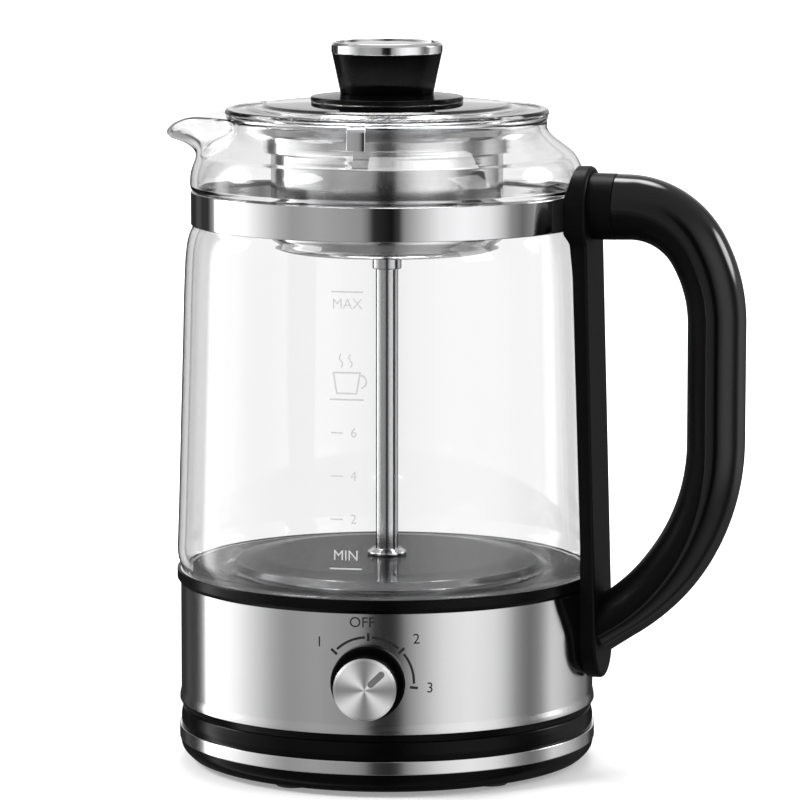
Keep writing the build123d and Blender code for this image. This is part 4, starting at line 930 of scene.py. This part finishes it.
line = handle_line()
along = line[0]
collar_end = 9.0
stations = (0, collar_end, 40, 60, 150, 172, 180, 184)
half_depth = smoothed(np.interp(along, stations, (10.95, 10.95, 9.9, 9.6, 9.5, 8.8, 8.6, 9.6)), 12)
half_width = smoothed(np.interp(along, stations, (10.95, 10.95, 10.98, 11.0, 10.9, 10.6, 10.5, 11.4)), 12)
seam_line = smoothed(np.interp(along, (0, 110, 165, 184), (-1.5, -1.5, 2.2, 3.0)), 20)
beyond = along >= collar_end
shell = [part[beyond] for part in (half_depth, half_width, seam_line)]
shell_line = [part[beyond] for part in line]
outer = handle_rings(shell_line, *shell, True)
add_rings("handle_outer", outer, "kettle", ["handle_outer_shell"], handle_gloss)
inner = handle_rings(shell_line, *shell, False)
add_rings("handle_inner", inner, "kettle", ["handle_inner_shell"], handle_satin)


def at_stub(points):
    """Turns points round the up axis into points round the handle's stub. Height becomes outwards."""
    return np.stack((points[:, 2], points[:, 0], points[:, 1] + stub_height), -1)


collar = [(0, 70.3), (11.0, 70.3), (10.95, 78.95, 0.35), (0, 78.95)]
turned(
    "handle_collar",
    "kettle",
    ["handle_inner_shell"],
    handle_satin,
    collar,
    128,
    place=at_stub,
)

# ---------------------------------------------------------------- selector dial

bezel = [(0, 67.6), (12.2, 67.6), (12.2, 71.9, 0.7), (9.6, 71.9, 0.2), (9.4, 71.4), (0, 71.4)]
turned("dial_bezel_ring", "kettle", ["dial_bezel"], gloss_black, bezel, 128, place=at_dial)

knob = [(0, 72.6), (10.15, 72.6, 0.4), (10.2, 82.15, 0.1), (0, 82.15)]
turned("dial_body", "dial", ["dial_knob"], gloss_black, knob, 128, place=at_dial)

cap = [(0, 82.2), (10.2, 82.2, 0.05), (10.2, 82.75, 0.12), (9.45, 83.4, 0.12), (5.0, 83.55, 6.0), (0, 83.58)]
turned("dial_face", "dial", ["dial_cap"], dial_steel, cap, 160, 25, at_dial)

# ---------------------------------------------------------------- basket and steam tube

cup = [
    (3.8, 172.5),
    (38.7, 172.5, 5.0),
    (38.7, 205.4),
    (40.3, 205.5),
    (40.3, 206.3, 0.2),
    (37.9, 206.3, 0.4),
    (37.9, 173.3, 4.2),
    (3.8, 173.3),
]
turned("tea_cup", "basket", ["basket_cup"], cup_steel, cup, 256)

funnel = [
    (38.75, 204.7),
    (41.5, 204.7, 0.7),
    (41.5, 210.7, 1.5),
    (49.0, 216.55, 0.8),
    (53.6, 216.55),
    (53.6, 217.3, 0.3),
    (48.3, 217.3, 0.8),
    (40.7, 211.1, 1.2),
    (40.7, 205.5, 0.3),
    (38.75, 205.5),
]
turned("basket_funnel", "basket", ["basket_collar"], basket_steel, funnel, 256)

tube = [(3.0, 69.8), (3.78, 69.8, 0.2), (3.78, 189.3, 0.2), (3.0, 189.3)]
turned("tube_pipe", "basket", ["steam_tube"], tube_steel, tube, 96)
bell = [(3.75, 69.8), (6.6, 69.8, 0.3), (6.6, 70.6, 0.5), (4.9, 71.8, 0.4), (3.75, 71.8)]
turned("tube_bell", "basket", ["tube_foot"], tube_steel, bell, 96)
nut = [(3.75, 166.0), (4.9, 166.0, 1.6), (4.9, 172.5, 0.1), (3.75, 172.5)]
turned("tube_nut_under", "basket", ["tube_nut"], tube_steel, nut, 96)
nut_above = [(3.75, 174.1), (4.9, 174.1), (4.9, 177.2, 0.4), (3.75, 177.2)]
turned("tube_nut_above", "basket", ["tube_nut"], tube_steel, nut_above, 6, 20)
spray = [(3.8, 186.3), (7.2, 186.3, 0.4), (7.2, 193.3, 2.5), (1.2, 193.3, 0.2), (1.2, 189.4), (3.8, 189.4)]
turned("spray_head", "basket", ["spray_cap"], tube_steel, spray, 96)


def tab_rings():
    """Rings across the tab: a rounded strip that leaves the flange, bends down and ends in front of the jug.

    A ring is a flat box with its four corners rounded by quarter circles of four points each.
    """
    path = rounded([(50.0, 216.9), (57.9, 216.9, 1.6), (57.9, 210.0), (57.9, 209.9)], False)
    run = np.gradient(path, axis=0)
    run = run / np.linalg.norm(run, axis=1, keepdims=True)
    away = np.stack((-run[:, 1], run[:, 0]), -1)
    half_thick = 0.38
    half_wide = 3.1
    round_by = 0.3
    corner = np.repeat(np.arange(4), 4)
    turn = np.radians(90 * corner + 30 * (np.arange(16) % 4))
    side = np.where((corner == 0) | (corner == 3), 1, -1)
    top = np.where(corner < 2, 1, -1)
    width = side * (half_wide - round_by) + round_by * np.cos(turn)
    height = top * (half_thick - round_by) + round_by * np.sin(turn)
    radial = path[:, :1] + away[:, :1] * height
    level = path[:, 1:] + away[:, 1:] * height
    out = np.array((sin(tab_side), -cos(tab_side)))
    across = np.array((cos(tab_side), sin(tab_side)))
    x = radial * out[0] + width * across[0]
    y = radial * out[1] + width * across[1]
    return np.stack((x, y, level), -1)[:, ::-1]


add_rings("basket_tab", tab_rings(), "basket", ["basket_collar"], clamp_steel, 60)

# ---------------------------------------------------------------- lid

lid_shape = [
    (0, 219.4),
    (42.8, 219.4, 0.6),
    (42.8, 215.0, 0.6),
    (44.8, 215.0, 0.6),
    (44.9, 217.35, 0.5),
    (53.6, 217.35, 0.5),
    (54.0, 218.4, 0.8),
    (53.4, 219.75, 0.6),
    (51.6, 219.75, 0.5),
    (50.6, 219.2, 0.4),
    (47.2, 219.45, 0.8),
    (44.5, 220.1, 3.0),
    (41.6, 220.35, 0.8),
    (40.2, 221.1, 0.8),
    (37.0, 221.35, 6.0),
    (25.4, 221.9, 3.0),
    (0, 221.9),
]
turned("lid_plate", "lid", ["lid_glass"], lid_clear, lid_shape, 288)

disc = [
    (2.8, 221.95),
    (25.4, 221.95, 0.3),
    (25.4, 223.7, 0.5),
    (16.5, 224.7, 2.0),
    (15.0, 224.8),
    (2.8, 224.8),
]
turned("knob_disc", "lid", ["lid_disc"], gloss_black, disc)
grip = [
    (2.8, 224.8),
    (15.5, 224.8, 0.3),
    (16.9, 231.5, 30.0),
    (18.3, 238.0, 0.15),
    (16.9, 238.0),
    (16.9, 236.0),
    (2.8, 236.0),
]
turned("knob_grip", "lid", ["lid_grip"], grip_satin, grip)
trim = [(16.95, 238.05), (18.5, 238.05, 0.4), (18.5, 240.8, 0.3), (17.7, 241.75, 0.3), (16.95, 241.75, 0.1)]
turned("knob_trim", "lid", ["lid_trim_ring"], trim_chrome, trim)
crown = [(0, 236), (16.9, 236), (16.9, 241.2, 0.1), (10.0, 241.35, 20.0), (0, 241.4)]
turned("knob_crown", "lid", ["lid_cap"], lid_gloss, crown)

# ---------------------------------------------------------------- printed marks

# height of capitals as a share of the typeface's size, and how much each stroke is thickened
capital_share = 0.73
stroke_gain = 0.004


def ribbon(points, width):
    """A flat line of the given width through points in the plane of the print, as points and faces."""
    points = np.asarray(points, float)
    run = np.gradient(points, axis=0)
    run = run / np.maximum(np.linalg.norm(run, axis=1, keepdims=True), 1e-9)
    side = np.stack((-run[:, 1], run[:, 0]), -1) * width / 2
    both = np.stack((points + side, points - side), 1).reshape(-1, 2)
    return both, [f[::-1] for f in grid_faces(len(points), 2, False, False)]


def arc_line(middle, radius, start, end, stretch=1.0):
    """Points along an arc in the plane of the print. Angles are in degrees, clockwise from the top."""
    angle = np.radians(np.linspace(start, end, max(4, int(abs(end - start) / 6) + 2)))
    return np.stack((middle[0] + radius * np.sin(angle) * stretch, middle[1] + radius * np.cos(angle)), -1)


def straight(start, end, steps=6):
    """Points along a straight line in the plane of the print."""
    start = np.asarray(start, float)
    return start + (np.asarray(end, float) - start) * np.linspace(0, 1, steps)[:, None]


def word(text, middle, height):
    """The faces of a word in the built-in typeface, centred at middle with capitals of the given height."""
    curve = bpy.data.curves.new("letters", "FONT")
    curve.body = text
    curve.size = height / capital_share
    curve.offset = stroke_gain
    curve.align_x = "CENTER"
    curve.align_y = "CENTER"
    curve.resolution_u = 4
    holder = bpy.data.objects.new("letters", curve)
    bpy.context.scene.collection.objects.link(holder)
    mesh = bpy.data.meshes.new_from_object(holder)
    places = np.zeros(len(mesh.vertices) * 3, np.float32)
    mesh.vertices.foreach_get("co", places)
    places = places.reshape(-1, 3)[:, :2]
    faces = [list(face.vertices) for face in mesh.polygons]
    bpy.data.objects.remove(holder)
    bpy.data.curves.remove(curve)
    bpy.data.meshes.remove(mesh)
    return places + np.asarray(middle), faces


def add_print(name, marks, side, height, radius_at, body, material):
    """Joins flat marks into one mesh wrapped round the body at a radius, at a side angle and a height."""
    points = []
    faces = []
    count = 0
    for places, polygons in marks:
        points.append(places)
        faces.extend([[count + i for i in polygon] for polygon in polygons])
        count += len(places)
    flat = np.concatenate(points)
    level = flat[:, 1] + height
    radius = radius_at(level)
    turn = side + flat[:, 0] / radius
    wrapped = np.stack((radius * np.sin(turn), -radius * np.cos(turn), level), -1)
    return add_piece(name, wrapped, faces, body, [], material, 60)


def dial_spot(angle, radius):
    """Place at a clockwise angle from the top and a distance from the dial's middle."""
    return radius * sin(radians(angle)), radius * cos(radians(angle))


dial_marks = []
for start, end in ((-44, -4), (4, 41), (51, 92)):
    dial_marks.append(ribbon(arc_line((0, 0), 14.8, start, end), 0.8))
for angle in (-49, 0, 46, 97):
    dial_marks.append(ribbon(straight(dial_spot(angle, 13.6), dial_spot(angle, 16.2)), 0.85))
for angle, text, away in ((-52, "1", 20.6), (-6, "OFF", 19.6), (48, "2", 21.0), (96, "3", 20.2)):
    dial_marks.append(word(text, dial_spot(angle, away), 3.5))


def sleeve_at(level):
    """Radius of the print on the steel sleeve."""
    return sleeve_radius + 0.05


add_print("dial_scale", dial_marks, dial_side, dial_height, sleeve_at, "kettle", print_dark)


def pointer_points():
    """Rounded bar on the dial's face, 6.8 mm long and 2.1 mm wide, turned 46 degrees clockwise."""
    half = 1.05
    top = arc_line((0, 8.6 - half), half, -90, 90)
    bottom = arc_line((0, 1.8 + half), half, 90, 270)
    flat = np.concatenate((top, bottom))
    angle = radians(46)
    across = flat[:, 0] * cos(angle) + flat[:, 1] * sin(angle)
    up = flat[:, 1] * cos(angle) - flat[:, 0] * sin(angle)
    turned_flat = np.stack((across, up), -1)
    lower = np.concatenate((turned_flat, np.full((len(flat), 1), 83.0)), 1)
    upper = np.concatenate((turned_flat, np.full((len(flat), 1), 83.58)), 1)
    return np.stack((lower, upper))


pointer = pointer_points()
pointer_faces = [f[::-1] for f in grid_faces(2, pointer.shape[1], False, True)]
pointer_faces.append(list(range(pointer.shape[1], 2 * pointer.shape[1]))[::-1])
add_piece(
    "dial_mark",
    at_dial(pointer.reshape(-1, 3)),
    pointer_faces,
    "dial",
    ["dial_pointer"],
    pointer_ink,
)


def jug_radius_at(level):
    """Outside of the straight glass wall at a height, with room for the print."""
    wall_line = np.asarray(round_wall)[straight_from - 1 : straight_to + 1]
    return np.interp(level, wall_line[:, 1], wall_line[:, 0]) + 0.08


cup_height = 137.0
jug_marks = [
    ribbon(straight((-5.2, 165.5), (5.2, 165.5)), 0.5),
    word("MAX", (0, 161.5), 3.4),
    ribbon(straight((-4.4, cup_height + 2.5), (-3.2, cup_height - 4.2)), 0.55),
    ribbon(straight((4.4, cup_height + 2.5), (3.2, cup_height - 4.2)), 0.55),
    ribbon(straight((-3.35, cup_height - 4.2), (3.35, cup_height - 4.2)), 0.55),
    ribbon(straight((-4.6, cup_height + 2.5), (4.6, cup_height + 2.5)), 0.55),
    ribbon(arc_line((4.3, cup_height - 0.4), 2.1, 10, 170), 0.5),
    ribbon(straight((-5.6, cup_height - 6.2), (5.6, cup_height - 6.2)), 0.55),
    ribbon(straight((-5.2, 76.0), (5.2, 76.0)), 0.5),
    word("MIN", (0, 80.2), 3.4),
]
steam = np.linspace(0, 1, 14)
for offset in (-1.9, 1.2):
    curl = np.stack((offset + 0.55 * np.sin(steam * TURN), cup_height + 4.2 + 4.2 * steam), -1)
    jug_marks.append(ribbon(curl, 0.45))
for step, level in enumerate((92.0, 106.0, 120.0)):
    jug_marks.append(ribbon(straight((-5.2, level), (-1.0, level)), 0.45))
    jug_marks.append(word(str(2 * (step + 1)), (2.4, level), 3.2))
add_print("jug_scale", jug_marks, print_side, 0.0, jug_radius_at, "kettle", print_light)

# ---------------------------------------------------------------- floor, world, lamps and camera

camera_turn = radians(16.0)
camera_distance = 1.6
camera_height = 0.336
camera_tilt = radians(7.6296)
towards = np.array((sin(camera_turn), -cos(camera_turn), 0.0))
rightwards = np.array((cos(camera_turn), sin(camera_turn), 0.0))


def heading(side, lift):
    """Unit direction from the object, in degrees to the right of the camera and above the horizon."""
    level = towards * cos(radians(side)) + rightwards * sin(radians(side))
    return level * cos(radians(lift)) + np.array((0.0, 0.0, sin(radians(lift))))


def ray_kinds(tree):
    """Two values, each 0 or 1: the camera sees this directly or through glass only; metal or gloss does."""
    path = tree.nodes.new("ShaderNodeLightPath").outputs
    mirrored = joined_by(tree, "MINIMUM", path["Glossy Depth"], 1.0)
    bounced = joined_by(tree, "MINIMUM", joined_by(tree, "ADD", mirrored, path["Diffuse Depth"]), 1.0)
    clear_way = joined_by(tree, "SUBTRACT", 1.0, bounced)
    through = joined_by(tree, "MULTIPLY", path["Is Transmission Ray"], clear_way)
    seen = joined_by(tree, "MAXIMUM", path["Is Camera Ray"], through)
    out_of_glass = joined_by(tree, "MULTIPLY", path["Is Transmission Ray"], mirrored)
    reflected = joined_by(tree, "MAXIMUM", path["Is Glossy Ray"], out_of_glass)
    return seen, reflected


def add_floor():
    """A pale floor that reads as white. Seen by the camera or through glass it glows, more so further out.

    Reflections show the studio in its place, and its shadow stays near the object.
    """
    reach = 12.0
    corners = [(-reach, -reach, 0), (reach, -reach, 0), (reach, reach, 0), (-reach, reach, 0)]
    mesh = bpy.data.meshes.new("floor")
    mesh.from_pydata(corners, [], [(0, 1, 2, 3)])
    floor = bpy.data.objects.new("floor", mesh)
    bpy.context.scene.collection.objects.link(floor)
    material, tree, shader = new_material("pale floor")
    set_values(shader, {"Base Color": grey(0.8), "Roughness": 0.6, "Specular IOR Level": 0.1})
    seen, reflected = ray_kinds(tree)
    place = tree.nodes.new("ShaderNodeTexCoord")
    spread = tree.nodes.new("ShaderNodeVectorMath")
    spread.operation = "LENGTH"
    tree.links.new(place.outputs["Object"], spread.inputs[0])
    glow = ranged(tree, spread.outputs["Value"], 0.1, 0.4, 0.3, 1.0)
    shader.inputs["Emission Color"].default_value = grey(1.0)
    tree.links.new(joined_by(tree, "MULTIPLY", seen, glow), shader.inputs["Emission Strength"])
    give_way(tree, reflected, shader, grey(1.0))
    mesh.materials.append(material)


# shades of the studio's panels at degrees to the right of the camera, and its softboxes:
# degrees to the right and above the horizon, half size and blur in degrees, and strength
studio_back = 1.0
studio_panels = (
    (-154, 0.2),
    (-139, 0.04),
    (-129, 0.04),
    (-122, 0.4),
    (-118.5, 3.2),
    (-112, 3.2),
    (-106, 1.5),
    (-92, 1.3),
    (-84, 1.05),
    (-76, 0.82),
    (-66, 0.52),
    (-57, 0.38),
    (-40, 0.45),
    (-15, 0.34),
    (-11, 0.2),
    (-8, 0.03),
    (3, 0.008),
    (7, 0.05),
    (10, 0.3),
    (16, 0.5),
    (31, 1.0),
    (46, 1.15),
    (62, 1.0),
    (70, 0.7),
    (77, 0.32),
    (86, 0.16),
    (95, 0.3),
    (104, 0.85),
    (113, 0.75),
    (140, 0.2),
)
softboxes = (
    (-105, 20, 9, 1.5, 12.0),
    (107, 20, 10, 2.5, 9.0),
    (-160, 62, 9, 4, 12.0),
    (166, 64, 8, 4, 12.0),
)


def agreement(tree, place, direction):
    """The cosine of the angle between a ray and a direction."""
    dot = tree.nodes.new("ShaderNodeVectorMath")
    dot.operation = "DOT_PRODUCT"
    dot.inputs[1].default_value = tuple(direction)
    tree.links.new(place, dot.inputs[0])
    return dot.outputs["Value"]


def add_world():
    """White behind the object, a studio of pale and dark panels in reflections, and even grey elsewhere.

    A reflection's shade depends on its angle round the object, measured from behind the camera. It fades to
    an even grey towards the ceiling, is dark low down at the back and underfoot, and holds four softboxes.
    """
    world = bpy.data.worlds.new("studio")
    bpy.context.scene.world = world
    world.use_nodes = True
    tree = world.node_tree
    tree.nodes.clear()
    output = tree.nodes.new("ShaderNodeOutputWorld")
    background = tree.nodes.new("ShaderNodeBackground")
    tree.links.new(background.outputs[0], output.inputs[0])
    place = tree.nodes.new("ShaderNodeTexCoord").outputs["Generated"]
    parts = tree.nodes.new("ShaderNodeSeparateXYZ")
    tree.links.new(place, parts.inputs[0])
    height = parts.outputs[2]

    aside = agreement(tree, place, rightwards)
    angle = joined_by(tree, "ARCTAN2", aside, agreement(tree, place, towards))
    panels = tree.nodes.new("ShaderNodeValToRGB")
    elements = panels.color_ramp.elements
    for end in elements:
        end.color = grey(studio_back)
    for turn, shade in studio_panels:
        elements.new((turn + 180) / 360).color = grey(shade)
    tree.links.new(ranged(tree, angle, -pi, pi), panels.inputs[0])
    rise = ranged(tree, height, 0.3, 0.8, curve="SMOOTHSTEP")
    studio = blend(tree, rise, panels.outputs[0], grey(0.5))

    behind = ranged(tree, joined_by(tree, "ABSOLUTE", angle), radians(141), radians(153))
    below = ranged(tree, height, 0.04, -0.04)
    leaves_glass = tree.nodes.new("ShaderNodeLightPath").outputs["Is Transmission Ray"]
    low_back = joined_by(tree, "MULTIPLY", behind, joined_by(tree, "MAXIMUM", below, leaves_glass))
    studio = blend(tree, low_back, studio, ranged(tree, leaves_glass, 0.0, 1.0, 0.03, 0.95))
    underfoot = ranged(tree, height, -0.22, -0.4, 0.0, 0.65)
    studio = blend(tree, underfoot, studio, grey(0.1))

    for side, lift, reach, blur, strength in softboxes:
        near = agreement(tree, place, heading(side, lift))
        inside = ranged(tree, near, cos(radians(reach + blur)), cos(radians(reach - blur)))
        studio = blend(tree, inside, studio, grey(strength))

    seen, reflected = ray_kinds(tree)
    light = blend(tree, reflected, grey(0.5), studio)
    tree.links.new(blend(tree, seen, light, grey(1.0)), background.inputs[0])


def add_lamp(name, side, lift, distance, watts, width, height=None):
    """A soft lamp aimed at the middle of the object: a disc, or an oblong where a height is given.

    side and lift are degrees from the camera's direction.
    """
    lamp = bpy.data.lights.new(name, "AREA")
    lamp.size = width
    lamp.shape = "DISK"
    if height is not None:
        lamp.shape = "RECTANGLE"
        lamp.size_y = height
    lamp.energy = watts
    holder = bpy.data.objects.new(name, lamp)
    bpy.context.scene.collection.objects.link(holder)
    middle = np.array((0.0, 0.0, 0.12))
    holder.location = tuple(middle + heading(side, lift) * distance)
    holder.rotation_euler = (radians(90 - lift), 0, camera_turn + radians(side))
    holder.visible_glossy = False


def add_camera():
    """The camera at the height, distance and tilt of the view, with a long lens."""
    data = bpy.data.cameras.new("camera")
    data.lens = 216.6
    data.sensor_width = 36.0
    data.shift_x = 0.01625
    data.clip_start = 0.05
    data.clip_end = 60.0
    camera = bpy.data.objects.new("camera", data)
    bpy.context.scene.collection.objects.link(camera)
    camera.location = (*(towards[:2] * camera_distance), camera_height)
    camera.rotation_euler = (pi / 2 - camera_tilt, 0, camera_turn)
    bpy.context.scene.camera = camera


add_floor()
add_world()
add_camera()
add_lamp("left lamp", -58, 38, 1.4, 14, 0.55)
add_lamp("right lamp", 55, 30, 1.6, 9, 0.5, 0.9)
add_lamp("top lamp", 160, 74, 1.5, 14, 0.9)

bpy.context.scene.view_settings.view_transform = "Standard"
